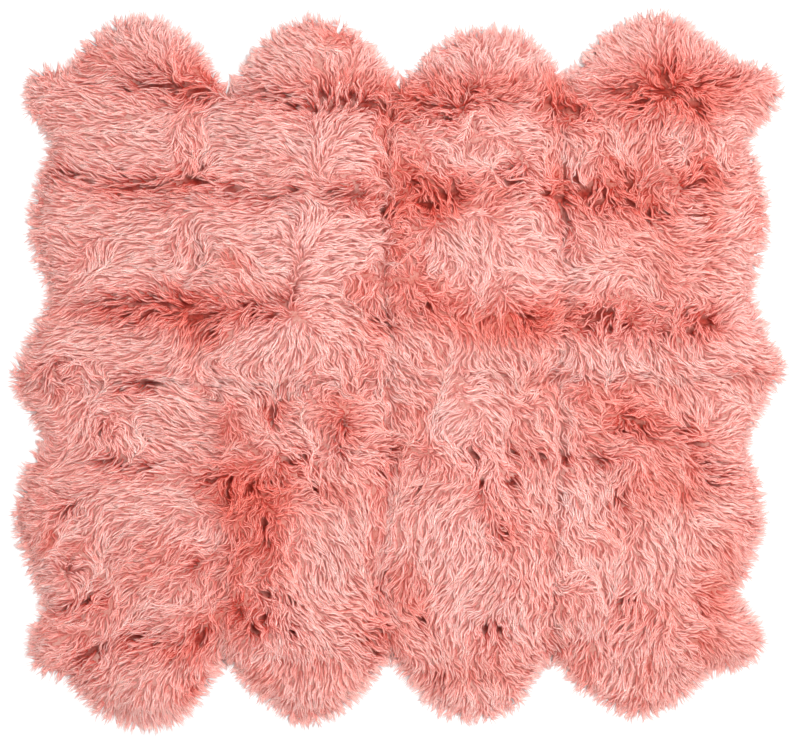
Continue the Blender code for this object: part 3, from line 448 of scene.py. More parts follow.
# Where the wool is made more coral or paler: where the dye took more, at the coral roots and patches,
# and where it took less; the paler rows over the lobes, the necks and the partings are painted light
# that lifts the shade there. x, y, half the length, half the width, degrees, and amount from -1 to 1.
DYE_AND_LIGHT_PATCHES = (
    # far pelts, coral: necks
    (-730, 787, 152, 30, -5, 0.35), (-540, 762, 51, 35, 0, 0.5), (-489, 757, 25, 35, 0, 0.7),
    (-920, 420, 25, 51, 0, 0.35), (-515, 559, 20, 76, 0, 0.45), (-502, 716, 41, 25, 0, 0.6),
    (-147, 833, 51, 20, 10, 0.5), (-147, 749, 89, 30, 0, 0.35), (-122, 711, 101, 25, 0, 0.45),
    (-33, 610, 35, 76, 0, 0.55), (-20, 521, 35, 63, 0, 0.75), (-8, 660, 51, 30, 0, 0.55),
    (157, 706, 152, 35, 0, 0.5), (56, 706, 63, 30, 0, 0.5), (284, 724, 76, 30, 0, 0.5),
    (411, 706, 76, 41, 0, 0.5), (56, 660, 76, 35, 0, 0.6), (385, 660, 63, 35, 0, 0.6),
    (461, 660, 51, 30, 0, 0.55), (740, 711, 152, 56, 0, 0.75), (664, 749, 76, 46, 0, 0.7),
    (816, 736, 76, 35, 0, 0.5), (740, 660, 63, 25, 0, 0.6), (613, 698, 89, 30, 0, 0.45),
    (695, 825, 20, 63, 0, 0.5),
    # far pelts, coral: withers
    (-692, 458, 56, 20, 0, 0.5), (-527, 463, 51, 25, 0, 0.5), (30, 521, 51, 38, 0, 0.55),
    (81, 488, 76, 30, 0, 0.7), (56, 432, 101, 46, 0, 0.9), (144, 445, 63, 25, 0, 0.6),
    (226, 412, 30, 35, 0, 0.65), (385, 559, 30, 76, 0, 0.45), (411, 496, 30, 35, 0, 0.6),
    (436, 470, 51, 25, 0, 0.6), (373, 445, 51, 20, 0, 0.5), (474, 432, 51, 30, 0, 0.6),
    (588, 458, 89, 56, 0, 0.75), (537, 521, 51, 35, 0, 0.5), (626, 420, 63, 38, 0, 0.55),
    (487, 597, 35, 35, 0, 0.4), (575, 648, 51, 30, 0, 0.5), (626, 559, 51, 63, 0, 0.35),
    (766, 559, 20, 89, 0, 0.5), (791, 508, 38, 35, 0, 0.65), (740, 483, 101, 25, 0, 0.5),
    (781, 343, 20, 114, 0, 0.6), (930, 382, 25, 63, 0, 0.5), (892, 407, 38, 30, 0, 0.4),
    (690, 318, 56, 35, 0, 0.4), (613, 305, 76, 51, 0, 0.3), (684, 242, 35, 41, -50, 0.5),
    (563, 369, 76, 25, 0, 0.3), (512, 356, 51, 51, 0, 0.3),
    # far pelts, coral: loins
    (-401, 267, 35, 30, 0, 0.5), (-515, 141, 56, 35, 0, 0.8), (-515, 179, 51, 30, 0, 0.65),
    (-477, 90, 35, 35, 0, 0.7), (-629, 148, 101, 25, 0, 0.5), (-755, 148, 101, 25, 0, 0.4),
    (-375, 179, 114, 20, 0, 0.4), (-375, 141, 101, 20, 0, 0.5), (-527, 77, 35, 51, 0, 0.35),
    (66, 305, 20, 63, 0, 0.6), (25, 305, 35, 46, 0, 0.4), (61, 394, 51, 25, 0, 0.6),
    (43, 217, 46, 35, 0, 0.45), (106, 199, 63, 25, 0, 0.55), (-8, 356, 35, 38, 0, 0.55),
    (-15, 293, 25, 35, 0, 0.75), (-96, 217, 41, 35, 40, 0.65), (-8, 204, 35, 35, 0, 0.5),
    (271, 133, 127, 46, 0, 0.85), (360, 128, 76, 41, 0, 0.7), (157, 141, 63, 35, 0, 0.6),
    (68, 158, 76, 25, 0, 0.45), (208, 103, 63, 25, 0, 0.6), (423, 128, 38, 41, 0, 0.45),
    (525, 255, 51, 25, 0, 0.35), (639, 128, 139, 46, 0, 0.5), (525, 133, 63, 35, 0, 0.55),
    (740, 128, 51, 35, 0, 0.55), (791, 115, 30, 30, 0, 0.6),
    # near pelts, coral
    (-857, -49, 46, 35, 0, 0.4), (-958, -49, 35, 25, 0, 0.45), (-953, -366, 25, 63, 0, 0.4),
    (-877, -417, 15, 46, 0, 0.65), (-831, -442, 63, 20, 0, 0.45), (-578, -442, 76, 25, 0, 0.55),
    (-629, -511, 63, 20, 0, 0.35), (-717, -582, 89, 25, 10, 0.35), (-806, -658, 63, 25, 0, 0.4),
    (-679, -683, 30, 35, 0, 0.4), (-553, -703, 41, 25, 0, 0.5), (-510, -683, 30, 35, 0, 0.6),
    (-527, -797, 35, 35, 0, 0.55), (-421, -151, 41, 66, 0, 0.6), (-324, -87, 35, 35, 0, 0.6),
    (-286, -62, 35, 35, 0, 0.45), (-160, -113, 41, 46, 0, 0.5), (-84, -151, 63, 38, 0, 0.35),
    (-134, -49, 63, 35, 0, 0.35), (-345, -240, 51, 38, 0, 0.5), (-380, -290, 89, 51, 0, 0.95),
    (-421, -328, 35, 51, 0, 0.7), (-363, -341, 76, 46, 0, 0.7), (-299, -303, 38, 51, 0, 0.5),
    (-337, -404, 63, 76, 0, 0.6), (-388, -430, 46, 63, 0, 0.6), (-312, -480, 30, 51, 0, 0.5),
    (-375, -506, 63, 38, 0, 0.4), (-413, -531, 51, 35, 0, 0.55), (-401, -607, 51, 46, 0, 0.65),
    (-464, -632, 51, 51, 0, 0.5), (-350, -632, 41, 35, 0, 0.5), (-464, -480, 51, 25, 0, 0.4),
    (-172, -290, 63, 46, 0, 0.5), (-58, -442, 35, 35, 0, 0.4), (-46, -328, 35, 76, 0, 0.35),
    (-8, -202, 35, 25, 0, 0.5), (-8, -100, 30, 51, 0, 0.4), (-20, -658, 35, 41, 0, 0.4),
    (-84, -658, 51, 35, 0, 0.3), (30, -582, 46, 35, 0, 0.6), (18, -518, 35, 51, 0, 0.45),
    (56, -164, 41, 51, 0, 0.45), (51, -75, 25, 35, 0, 0.6), (106, -265, 35, 35, 0, 0.4),
    (233, -341, 25, 41, 0, 0.5), (271, -404, 30, 63, -20, 0.55), (297, -151, 46, 63, 0, 0.35),
    (373, -404, 35, 63, 0, 0.45), (398, -100, 35, 51, 0, 0.3), (335, -37, 101, 35, 0, 0.3),
    (373, -9, 51, 20, 0, 0.5), (208, -709, 127, 35, 0, 0.35), (170, -759, 139, 18, 0, 0.55),
    (398, -582, 51, 25, 0, 0.4), (411, -683, 35, 35, 0, 0.4), (474, -747, 30, 51, 0, 0.4),
    (-248, -739, 114, 18, 0, 0.6), (-337, -764, 35, 30, -30, 0.55), (487, -138, 51, 76, 0, 0.45),
    (563, -75, 89, 51, 0, 0.45), (613, -138, 89, 56, 0, 0.6), (512, -49, 76, 35, 0, 0.35),
    (677, -176, 30, 76, 0, 0.4), (753, -138, 30, 51, 0, 0.45), (740, -227, 20, 51, 0, 0.5),
    (728, -298, 41, 35, 0, 0.75), (613, -303, 51, 51, 0, 0.45), (816, -442, 35, 51, 0, 0.5),
    (778, -556, 41, 63, 0, 0.7), (766, -683, 41, 63, 0, 0.6), (829, -518, 46, 25, 0, 0.45),
    (613, -607, 76, 35, 0, 0.35), (629, -747, 20, 41, 0, 0.65), (677, -582, 20, 101, 0, 0.4),
    (867, -4, 76, 23, 0, 0.45), (930, -683, 25, 51, 0, 0.4), (842, -683, 63, 30, 0, 0.3),
    (601, -830, 96, 18, 0, 0.4),
    # far pelts, pale
    (-629, 850, 89, 46, 0, -0.35), (-565, 850, 38, 51, 0, -0.3), (-654, 635, 177, 51, 0, -0.25),
    (-375, 610, 152, 63, 0, -0.25), (-223, 610, 76, 51, 0, -0.4), (-172, 521, 63, 35, 0, -0.35),
    (-109, 572, 63, 35, 0, -0.2), (-654, 382, 101, 38, 0, -0.15), (-388, 369, 89, 46, 0, -0.3),
    (-248, 356, 89, 51, 0, -0.55), (-122, 331, 76, 51, 0, -0.4), (-223, 280, 51, 35, 0, -0.4),
    (-172, 217, 63, 25, 0, -0.35), (-261, 77, 101, 41, 0, -0.35), (-134, 77, 63, 30, 0, -0.3),
    (132, 546, 63, 25, -30, -0.5), (309, 610, 63, 30, 0, -0.25), (449, 521, 25, 56, 0, -0.6),
    (195, 376, 41, 51, 0, -0.6), (309, 331, 101, 63, 0, -0.35), (106, 318, 38, 51, 0, -0.5),
    (157, 267, 51, 38, 0, -0.4), (373, 242, 76, 51, 0, -0.25), (195, 52, 63, 25, 0, -0.4),
    (487, 52, 63, 30, 0, -0.55), (613, 47, 114, 30, 0, -0.45), (854, 546, 46, 46, 0, -0.2),
    # near pelts, pale
    (157, -113, 63, 71, 0, -0.6), (94, -105, 25, 51, 0, -0.5), (183, -62, 51, 25, 0, -0.6),
    (221, -164, 35, 35, 0, -0.4), (221, -252, 35, 30, 0, -0.5), (132, -379, 89, 76, 0, -0.45),
    (183, -455, 89, 51, 0, -0.45), (144, -556, 114, 51, 0, -0.35), (309, -480, 63, 51, 0, -0.2),
    (411, -379, 41, 76, 0, -0.3), (436, -303, 35, 51, 0, -0.3), (411, -138, 35, 51, 0, -0.35),
    (512, -354, 51, 76, 0, -0.25), (233, -810, 89, 35, 0, -0.3), (-8, -75, 20, 51, 0, -0.4),
    (-8, -430, 25, 63, 0, -0.5), (-33, -480, 35, 63, 0, -0.25), (-134, -404, 89, 76, 0, -0.3),
    (-185, -518, 63, 63, 0, -0.25), (-223, -582, 35, 76, 0, -0.3), (-464, -404, 35, 51, 0, -0.25),
    (-603, -835, 76, 51, 0, -0.2), (-198, -810, 89, 30, 0, -0.25), (664, -480, 51, 76, 0, -0.25),
    (563, -455, 51, 76, 0, -0.2), (487, -556, 51, 35, 0, -0.3),
    # lobes, paler: painted light that lifts the shade on them
    (106, 752, 81, 35, 0, -0.6), (-629, 833, 127, 61, 0, -0.4), (651, 825, 101, 61, 0, -0.35),
    (-223, 825, 114, 51, 0, -0.2), (474, 736, 41, 35, 0, -0.4), (259, 772, 101, 41, 0, -0.35),
    (880, 736, 76, 35, 0, -0.4), (-857, 698, 76, 51, 0, -0.3), (-401, 736, 76, 51, 0, -0.3),
    (-122, 749, 76, 41, 0, -0.2),
    # middle, paler
    (-319, 123, 61, 56, 0, -0.8), (-254, 293, 30, 101, 0, -0.4), (-439, 204, 61, 35, 0, -0.3),
    (512, 141, 51, 56, 0, -0.7), (816, 123, 101, 41, 0, -0.7), (449, 27, 35, 51, 0, -0.5),
    (651, 65, 152, 35, 0, -0.5), (-857, 1, 56, 35, 0, -0.4), (-852, -511, 61, 56, 0, -0.6),
    (228, -627, 51, 56, 0, -0.6), (613, -645, 127, 61, 0, -0.35), (892, -683, 61, 51, 0, -0.4),
    (-730, -202, 76, 76, 0, -0.25), (-755, -671, 76, 61, 0, -0.3), (-312, -671, 61, 76, 0, -0.35),
    (183, -164, 76, 101, 0, -0.3), (449, -252, 51, 127, 0, -0.25), (233, -379, 35, 76, 0, -0.3),
    (-603, 217, 61, 30, 0, -0.4), (-844, 458, 61, 35, 0, -0.3),
    # coral, stronger
    (233, 452, 30, 35, 0, 0.6), (385, 493, 30, 51, 0, 0.6), (-66, 521, 35, 51, 0, 0.3),
    (583, 513, 66, 41, 0, 0.4), (771, 369, 23, 114, 0, 0.4), (-84, 115, 35, 76, 0, 0.35),
    (-91, 1, 41, 51, 0, 0.35), (81, 27, 41, 41, 0, 0.3), (-51, -455, 46, 66, 0, 0.35),
    (-96, -582, 101, 51, 0, 0.3), (74, -562, 35, 66, 0, 0.35), (651, -265, 71, 66, 0, 0.5),
    (669, -37, 66, 51, 0, 0.35), (355, 1, 61, 30, 0, 0.3), (-218, -866, 66, 30, 0, 0.3),
    (542, -392, 56, 46, 0, 0.4), (309, -506, 56, 41, 0, 0.3), (-502, -594, 35, 35, 0, 0.3),
    (-375, -290, 66, 46, 0, 0.3), (-603, -506, 127, 51, 0, 0.2), (-831, -278, 76, 76, 0, 0.15),
    (157, 141, 152, 30, 0, 0.25),
    # necks and partings, paler: painted light that lifts the shade along the partings
    (-629, 752, 152, 35, 0, -0.55), (-363, 731, 101, 30, 0, -0.5), (-147, 772, 114, 41, 0, -0.5),
    (119, 757, 76, 41, 0, -0.5), (271, 757, 127, 35, 0, -0.6), (487, 741, 66, 41, 0, -0.5),
    (639, 772, 101, 41, 0, -0.5), (821, 747, 112, 35, 0, -0.6), (-324, 123, 76, 46, 0, -0.5),
    (568, 123, 112, 35, 0, -0.6), (487, 366, 86, 61, 0, -0.5), (-755, 513, 152, 35, 0, -0.4),
    (-269, -653, 61, 86, 0, -0.5), (238, -638, 56, 61, 0, -0.4), (-730, 123, 152, 30, 0, -0.3),
    (715, 615, 152, 46, 0, -0.25), (81, 640, 101, 35, 0, -0.3), (651, -151, 76, 51, 0, -0.3),
)

# Where the wool's outline lies farther out than the slabs' own, or farther in. x, y, the stretch,
# and how far out.
TRIMS = (
    # neck lobes
    (788, 838, 35, -6), (745, 871, 35, -8), (492, 802, 46, -16), (578, 866, 41, -16),
    (357, 812, 41, -9), (61, 780, 41, -7), (-53, 792, 46, -9), (-373, 785, 41, -13),
    (-489, 777, 41, -12), (-864, 780, 35, 9),
    # flanks
    (-902, 554, 30, 14), (-887, 610, 30, -12), (-913, 498, 30, 8), (895, -521, 30, 11),
    (900, -468, 30, -13), (910, 204, 30, 12),
    # tail lobes and legs
    (347, -759, 35, -22), (327, -807, 30, -8), (436, -772, 35, -9), (-56, -754, 35, -12),
    (35, -792, 35, -6), (-94, -810, 30, -7), (-492, -802, 35, -9), (-456, -754, 30, -6),
    (-388, -785, 41, -7), (-743, -886, 35, 11), (-842, -792, 30, 7), (-897, -774, 30, 9),
    (613, -878, 46, 7), (844, -764, 35, 8), (930, -683, 30, 7),
)


def linear(hex_colour):
    """An sRGB colour such as "#E7978C" as linear red, green and blue."""
    parts = np.array([int(hex_colour[place:place + 2], 16) / 255 for place in (1, 3, 5)])
    return np.where(parts <= 0.04045, parts / 12.92, ((parts + 0.055) / 1.055) ** 2.4)


# Dyed wool, from its deepest roots to its tips, and the dark painted shade at the floor of the gaps.
ROOT = linear("#C04636")
# painted shade: the dark floor of the gaps, down in the dense wool
GAP_FLOOR_SHADE = linear("#8B241D")
CORAL = linear("#E27C69")
PINK = linear("#F2CFC8")
PALE = linear("#F3E1DF")
# paler at the rim: partly paler tips, partly painted light that lifts the shade among the fine hairs
RIM_TIP = linear("#FDDFDA")
HIDE = linear("#DDAF9C")
HIDE_NAP = linear("#C99582")
SWEEP = linear("#FAFAFA")

# Tints: what the dye's colour is multiplied by. The streaks paint shade and highlight into it, the
# edges paint shade.
STREAK_SHADE = (0.9, 0.62, 0.58)           # painted shade in the furrows between the fibres
STREAK_HIGHLIGHT = (1.03, 1.12, 1.12)         # painted highlight on the fibres' backs
TIP_TINT = (1.05, 0.95, 0.93)
EDGE_SHADE_SLEEK = np.array((0.96, 0.6, 0.55))  # painted shade along a wisp's thin edges, where the wool is sleek
EDGE_SHADE_CURLY = np.array((0.88, 0.25, 0.19))  # and deeper painted shade there where it is curly, coral or open

# How the dye takes, and where shade and light are painted into it, as shares.
DYE_SCATTER = 7.0          # millimetres by which a wisp's dye is taken from beside its root
CORAL_LESS_PALE = 0.5      # how much less coral shows where the wool is made paler
CORAL_OPEN = 0.1           # and how much more where the wool stands open near the gaps: partly the deeper wool inside the fleece, partly painted shade
CORAL_BODY = 0.7           # how far a wisp's body turns coral where the dye took most
CORAL_DIMS = 0.8           # how much less light a coral wisp is
TONE_LOCK = 0.55           # of a wisp's tone that it has from its lock
LIGHT_LEAST = 0.3          # how pale the deepest pink wisps are
LIGHT_TONE = 0.38          # what a wisp's tone adds to that
LIGHT_PALE = 0.5           # and what a paler place adds, where the dye took less and where light is painted
DEEP_ROOT = 0.7            # how much of the root's colour shows
DEEP_OPEN, DEEP_CORAL, DEEP_PALE = 0.4, 0.2, 0.2   # more, more and less than that; the more where the wool stands open is partly the roots showing there, partly painted shade near the gaps
ROUGH_CURL, ROUGH_CORAL, ROUGH_OPEN = 0.7, 0.5, 0.7   # what deepens the painted shade along the edges
RIM_TIP_SHARE = 0.7        # of the paler rim colour, right at the rim: partly paler tips, partly painted light that lifts the shade among the fine hairs
RIM_EDGE_SHARE = 0.8       # of the edges' painted shade that fades at the rim
UNDERWOOL_PLAIN = PINK * 0.4 + CORAL * 0.4   # the dense wool is in shade, so it is deeper
# painted shade too: the coral dense wool, made deeper for the shade it lies in
UNDERWOOL_CORAL = CORAL * 0.6 + ROOT * 0.3
GAP_SHADE_CHANGE = 0.5          # of the way from the painted gap shade to the root's colour


# ---------------------------------------------------------------- maps over the rug

def blend(first, second, share):
    """The first at no share, the second at a share of 1, and between them in between."""
    return first * (1 - share) + second * share


def share_of(values):
    """The values kept between 0 and 1."""
    return np.clip(values, 0, 1)


class Map:
    """Numbers on a grid over the rug, read smoothly anywhere."""

    def __init__(self, low, values):
        self.low = np.array(low, float)
        self.values = np.array(values, float)

    def at(self, spots):
        """The map's value at each spot."""
        place = (spots - self.low) / GRID_PITCH
        rows, columns = self.values.shape[:2]
        x = np.clip(place[:, 0], 0, columns - 1.001)
        y = np.clip(place[:, 1], 0, rows - 1.001)
        left, under = x.astype(int), y.astype(int)
        fx, fy = x - left, y - under
        if self.values.ndim == 3:
            fx, fy = fx[:, None], fy[:, None]
        lower = blend(self.values[under, left], self.values[under, left + 1], fx)
        upper = blend(self.values[under + 1, left], self.values[under + 1, left + 1], fx)
        return blend(lower, upper, fy)


def soften(values, times):
    """The values averaged with their neighbours, over and over."""
    for _ in range(times):
        padded = np.pad(values, 1, mode="edge")
        values = (padded[1:-1, :-2] + padded[1:-1, 1:-1] + padded[1:-1, 2:]) / 3
        padded = np.pad(values, 1, mode="edge")
        values = (padded[:-2, 1:-1] + padded[1:-1, 1:-1] + padded[2:, 1:-1]) / 3
    return values


def rolling(spots, length, chance):
    """A smooth random value from -1 to 1 for each spot, with waves about two lengths long."""
    low = spots.min(axis=0) - length
    cells = ((spots.max(axis=0) - low) / length).astype(int) + 3
    lattice = chance.uniform(-1, 1, (cells[1], cells[0]))
    place = (spots - low) / length
    x, y = place.astype(int).T
    part = place - np.column_stack([x, y])
    part = part * part * (3 - 2 * part)
    lower = blend(lattice[y, x], lattice[y, x + 1], part[:, 0])
    upper = blend(lattice[y + 1, x], lattice[y + 1, x + 1], part[:, 0])
    return blend(lower, upper, part[:, 1])


def jittered(low, high, pitch, chance):
    """Spots on a grid from low to high, each moved a little."""
    x, y = np.meshgrid(np.arange(low[0], high[0], pitch), np.arange(low[1], high[1], pitch))
    spots = np.column_stack([x.ravel(), y.ravel()])
    return spots + chance.uniform(-0.5, 0.5, spots.shape) * pitch


def nearest(points, spots):
    """For each spot the number of the nearest point."""
    tree = kdtree.KDTree(len(points))
    for number, (x, y) in enumerate(points):
        tree.insert((x, y, 0), number)
    tree.balance()
    return np.array([tree.find((x, y, 0))[1] for x, y in spots])


def along_and_across(spots, x, y, degrees):
    """The spots as seen from (x, y) along a line at that angle, and across it."""
    cosine, sine = math.cos(math.radians(degrees)), math.sin(math.radians(degrees))
    off = spots - (x, y)
    return off[:, 0] * cosine + off[:, 1] * sine, off[:, 1] * cosine - off[:, 0] * sine


def patchwork(spots, patches, spread=(0.0, 0.0)):
    """How strongly soft oval patches cover each spot. Each has its x, y, half its length, half its
    width, its angle and its amount."""
    left = np.ones(len(spots))
    for x, y, half_length, half_width, degrees, amount in patches:
        half_length, half_width = half_length + spread[0], half_width + spread[1]
        reach = PATCH_REACH * max(half_length, half_width)
        near = np.nonzero((np.abs(spots - (x, y)) < reach).all(axis=1))[0]
        u, v = along_and_across(spots[near], x, y, degrees)
        left[near] *= 1 - amount * np.exp(-(u / half_length) ** 2 - (v / half_width) ** 2)
    return 1 - left


def halved(gaps):
    """The gaps as oval patches."""
    return [(x, y, length / 2, width / 2, degrees, depth)
            for x, y, length, width, degrees, depth in gaps]


def opened(spots, gaps):
    """The spots moved out of the gaps, each to the side it lies on."""
    spots = spots.copy()
    order = np.argsort(spots[:, 0])
    rightward = spots[order, 0]
    for x, y, length, width, degrees, depth in gaps:
        near = order[slice(*np.searchsorted(rightward, (x - length, x + length)))]
        near = near[np.abs(spots[near, 1] - y) < length]
        u, v = along_and_across(spots[near], x, y, degrees)
        share = share_of(1 - (u / (length / 2)) ** 2)
        clear = width / 2 * np.sqrt(share) * GAP_OPENS * (GAP_SHALLOW + (1 - GAP_SHALLOW) * depth)
        moved = np.where(v < 0, -1, 1) * np.sqrt(v ** 2 + clear ** 2) - v
        turn = math.radians(degrees)
        spots[near, 0] -= moved * math.sin(turn)
        spots[near, 1] += moved * math.cos(turn)
    return spots


def crossing(paths):
    """Which paths lie across a deep gap."""
    across = np.zeros(len(paths), bool)
    for x, y, length, _, degrees, depth in GAPS:
        if depth < GAP_DEEP:
            continue
        near = np.nonzero((np.abs(paths[:, 0] - (x, y)) < length + WISP_LENGTH).all(axis=1))[0]
        u, v = along_and_across(paths[near].reshape(-1, 2), x, y, degrees)
        u, v = u.reshape(len(near), -1), v.reshape(len(near), -1)
        within = np.abs(u[:, :-1] + u[:, 1:]) < length * GAP_DEEP_LENGTH * depth
        across[near] |= ((v[:, :-1] * v[:, 1:] < 0) & within).any(axis=1)
    return across


def read_slabs():
    """The slabs' height, and which slab it is, on a grid over the rug, read from above."""
    low = np.array(CAD_BOX[0][:2]) / MM - GRID_MARGIN
    high = np.array(CAD_BOX[1][:2]) / MM + GRID_MARGIN
    steps = (np.arange(low[axis], high[axis], GRID_PITCH) for axis in (0, 1))
    across, up = np.meshgrid(*steps)
    heights = np.zeros(across.shape)
    owners = np.full(across.shape, -1)
    for number, name in enumerate(NAMES):
        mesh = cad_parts[name].data
        tree = BVHTree.FromPolygons([v.co for v in mesh.vertices], [p.vertices for p in mesh.polygons])
        lowest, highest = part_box(name)
        inside = (across > lowest[0] / MM) & (across < highest[0] / MM)
        inside &= (up > lowest[1] / MM) & (up < highest[1] / MM)
        for row, column in zip(*np.nonzero(inside)):
            spot = Vector((across[row, column] * MM, up[row, column] * MM, 1.0))
            hit = tree.ray_cast(spot, Vector((0, 0, -1)))[0]
            if hit is not None and hit.z > SLAB_LEAST * MM:
                heights[row, column] = hit.z / MM
                owners[row, column] = number
    return low, across, up, heights, owners


def from_rim(spots, low, coverage):
    """How far each spot lies inside the rim, where the coverage passes one half."""
    crossings = []
    for axis in (0, 1):
        first = np.take(coverage, range(coverage.shape[axis] - 1), axis)
        second = np.take(coverage, range(1, coverage.shape[axis]), axis)
        rows, columns = np.nonzero((first > 0.5) != (second > 0.5))
        part = (0.5 - first[rows, columns]) / (second[rows, columns] - first[rows, columns])
        place = np.column_stack([columns, rows]).astype(float)
        place[:, 1 - axis] += part
        crossings.append(low + place * GRID_PITCH)
    rim = np.vstack(crossings)
    closest = rim[nearest(rim, spots)]
    return np.linalg.norm(closest - spots, axis=1) * np.where(coverage.ravel() > 0.5, 1, -1)


def slope(values):
    """The values' slope along x and y, one row for each spot of the grid."""
    return np.column_stack([np.gradient(values, axis=1).ravel(), np.gradient(values, axis=0).ravel()])


def unit(ways):
    """The ways, each made one long."""
    return ways / (np.linalg.norm(ways, axis=1, keepdims=True) + 1e-6)


class Rug:
    """The maps that every piece is laid out from."""

    def __init__(self, chance):
        low, across, up, heights, owners = read_slabs()
        self.low = low
        self.high = -low
        self.owners = owners
        self.height = Map(low, soften(heights, 1))
        shape = across.shape
        spots = np.column_stack([across.ravel(), up.ravel()])

        coverage = soften((owners >= 0).astype(float), RIM_SOFTENED)
        distance = from_rim(spots, low, coverage) + RIM_OUT
        for x, y, stretch, out in TRIMS:
            distance += out * np.exp(-((spots - (x, y)) ** 2).sum(axis=1) / stretch ** 2)
        smooth = soften(distance.reshape(shape), RIM_SOFTENED)
        self.depth_in = Map(low, smooth)

        combed = self.combed(spots)
        turn = share_of(1 - distance / RIM_BEND)[:, None]
        comb = unit(combed[:, :2]) * (1 - turn) - unit(slope(smooth)) * turn * RIM_OUTWARD
        self.comb = Map(low, comb.reshape(*shape, 2))
        self.curl = Map(low, combed[:, 2].reshape(shape))
        spread = sum(np.gradient(comb[:, part].reshape(shape), axis=1 - part) for part in (0, 1))
        self.parting = Map(low, soften(spread, 1) / GRID_PITCH * PARTING_GAIN)

        crimp = rolling(spots, CRIMP_SHORT, chance)
        crimp += CRIMP_LONG_SHARE * rolling(spots, CRIMP_LONG, chance)
        self.crimp = Map(low, (crimp * combed[:, 2] * CRIMP_TURN).reshape(shape))
        # The paler patches include painted light over the lobes, the necks and the partings.
        more = [row for row in DYE_AND_LIGHT_PATCHES if row[5] > 0]
        less = [(*row[:5], -row[5]) for row in DYE_AND_LIGHT_PATCHES if row[5] < 0]
        self.coral = Map(low, patchwork(spots, more).reshape(shape))
        self.pale = Map(low, patchwork(spots, less).reshape(shape))
        self.open = Map(low, patchwork(spots, halved(GAPS), GAP_SPREAD).reshape(shape))
        self.gaps = list(GAPS) + self.small_gaps(chance)

    def combed(self, spots):
        """The combed way and the curl at each spot, averaged from the strokes around it."""
        angles = np.radians(STROKES[:, 2])
        strokes = np.column_stack([np.cos(angles), np.sin(angles), STROKES[:, 3]])
        combed = np.zeros((len(spots), 3))
        for start in range(0, len(spots), COMB_BATCH):
            part = slice(start, start + COMB_BATCH)
            away = ((spots[part, None, :] - STROKES[None, :, :2]) ** 2).sum(axis=2)
            weight = 1 / (away + COMB_REACH ** 2) ** 2
            combed[part] = weight @ strokes / weight.sum(axis=1, keepdims=True)
        return combed

    def small_gaps(self, chance):
        """Small openings between the locks, where the wool is curly or stands open."""
        spots = jittered(self.low, self.high, SMALL_GAP_PITCH, chance)
        spots = spots[self.depth_in.at(spots) > SMALL_GAP_INSET]
        curl = self.curl.at(spots)
        likely = self.open.at(spots) * (SMALL_GAP_SLEEK + curl)
        likely += SMALL_GAP_CORAL * self.coral.at(spots) * curl
        spots = spots[chance.uniform(0, 1, len(spots)) < likely * SMALL_GAP_SHARE]
        count = len(spots)
        way = self.comb.at(spots)
        degrees = np.degrees(np.arctan2(way[:, 1], way[:, 0]))
        degrees += chance.uniform(-SMALL_GAP_TURN, SMALL_GAP_TURN, count)
        lengths = chance.uniform(*SMALL_GAP_LENGTH, count)
        widths = chance.uniform(*SMALL_GAP_WIDTH, count)
        depths = chance.uniform(*SMALL_GAP_DEPTH, count)
        return list(np.column_stack([spots, lengths, widths, degrees, depths]))

    def owner(self, spots):
        """The slab under each spot, or -1."""
        column, row = ((spots - self.low) / GRID_PITCH).round().astype(int).T
        rows, columns = self.owners.shape
        return self.owners[np.clip(row, 0, rows - 1), np.clip(column, 0, columns - 1)]


# ---------------------------------------------------------------- materials

def add(tree, kind, settings=None, links=None, values=None):
    """Adds a node with its settings, its sockets' values and the links into it."""
    node = tree.nodes.new(kind)
    for name, value in (settings or {}).items():
        setattr(node, name, value)
    for name, value in (values or {}).items():
        node.inputs[name].default_value = value
    for name, source in (links or {}).items():
        tree.links.new(source, node.inputs[name])
    return node


def empty_material(name):
    material = bpy.data.materials.new(name)
    material.use_nodes = True
    material.node_tree.nodes.clear()
    return material, material.node_tree


def dyed_wool():
    """Dyed sheep's wool, combed: soft-shining fibres that let some light through, darker at the
    roots. The light that passes through them keeps the shadows between the locks warm. The colour
    of the wool, with shade painted along the wisps' edges, in the dense wool and at the floors of the
    gaps, and light painted over the lobes, the partings and the rim, comes with the mesh, as does the
    way of the fibres."""
    material, tree = empty_material("combed_dyed_sheep_wool")
    dye_and_painted_light = add(tree, "ShaderNodeAttribute", {"attribute_name": "dye_and_painted_light"})
    strand = add(tree, "ShaderNodeAttribute", {"attribute_name": "strand"})
    fibres = add(tree, "ShaderNodeTexNoise", links={"Vector": strand.outputs["Vector"]},
                 values={"Scale": 1.0, "Detail": 2.0, "Roughness": 0.6})
    # The fibre streaks: painted shade in their furrows and painted highlight on their backs, from the
    # same noise as the bump.
    streak = add(tree, "ShaderNodeMapRange", links={"Value": fibres.outputs[0]},
                 values={"From Min": 0.3, "From Max": 0.7})
    tint = add(tree, "ShaderNodeMix", {"data_type": "RGBA"}, links={"Factor": streak.outputs[0]},
               values={6: (*STREAK_SHADE, 1), 7: (*STREAK_HIGHLIGHT, 1)})
    colour = add(tree, "ShaderNodeVectorMath", {"operation": "MULTIPLY"},
                 links={0: dye_and_painted_light.outputs["Color"], 1: tint.outputs[2]})
    bump = add(tree, "ShaderNodeBump", links={"Height": fibres.outputs[0]},
               values={"Strength": 0.35, "Distance": 0.0006})
    fleece = add(tree, "ShaderNodeBsdfPrincipled", {"subsurface_method": "BURLEY"},
                 links={"Base Color": colour.outputs[0], "Normal": bump.outputs[0]},
                 values={"Roughness": 0.65, "IOR": 1.55, "Specular IOR Level": 0.1,
                         "Subsurface Weight": 0.9, "Subsurface Radius": (1.0, 0.85, 0.8),
                         "Subsurface Scale": 0.01})
    add(tree, "ShaderNodeOutputMaterial", links={"Surface": fleece.outputs[0]})
    return material


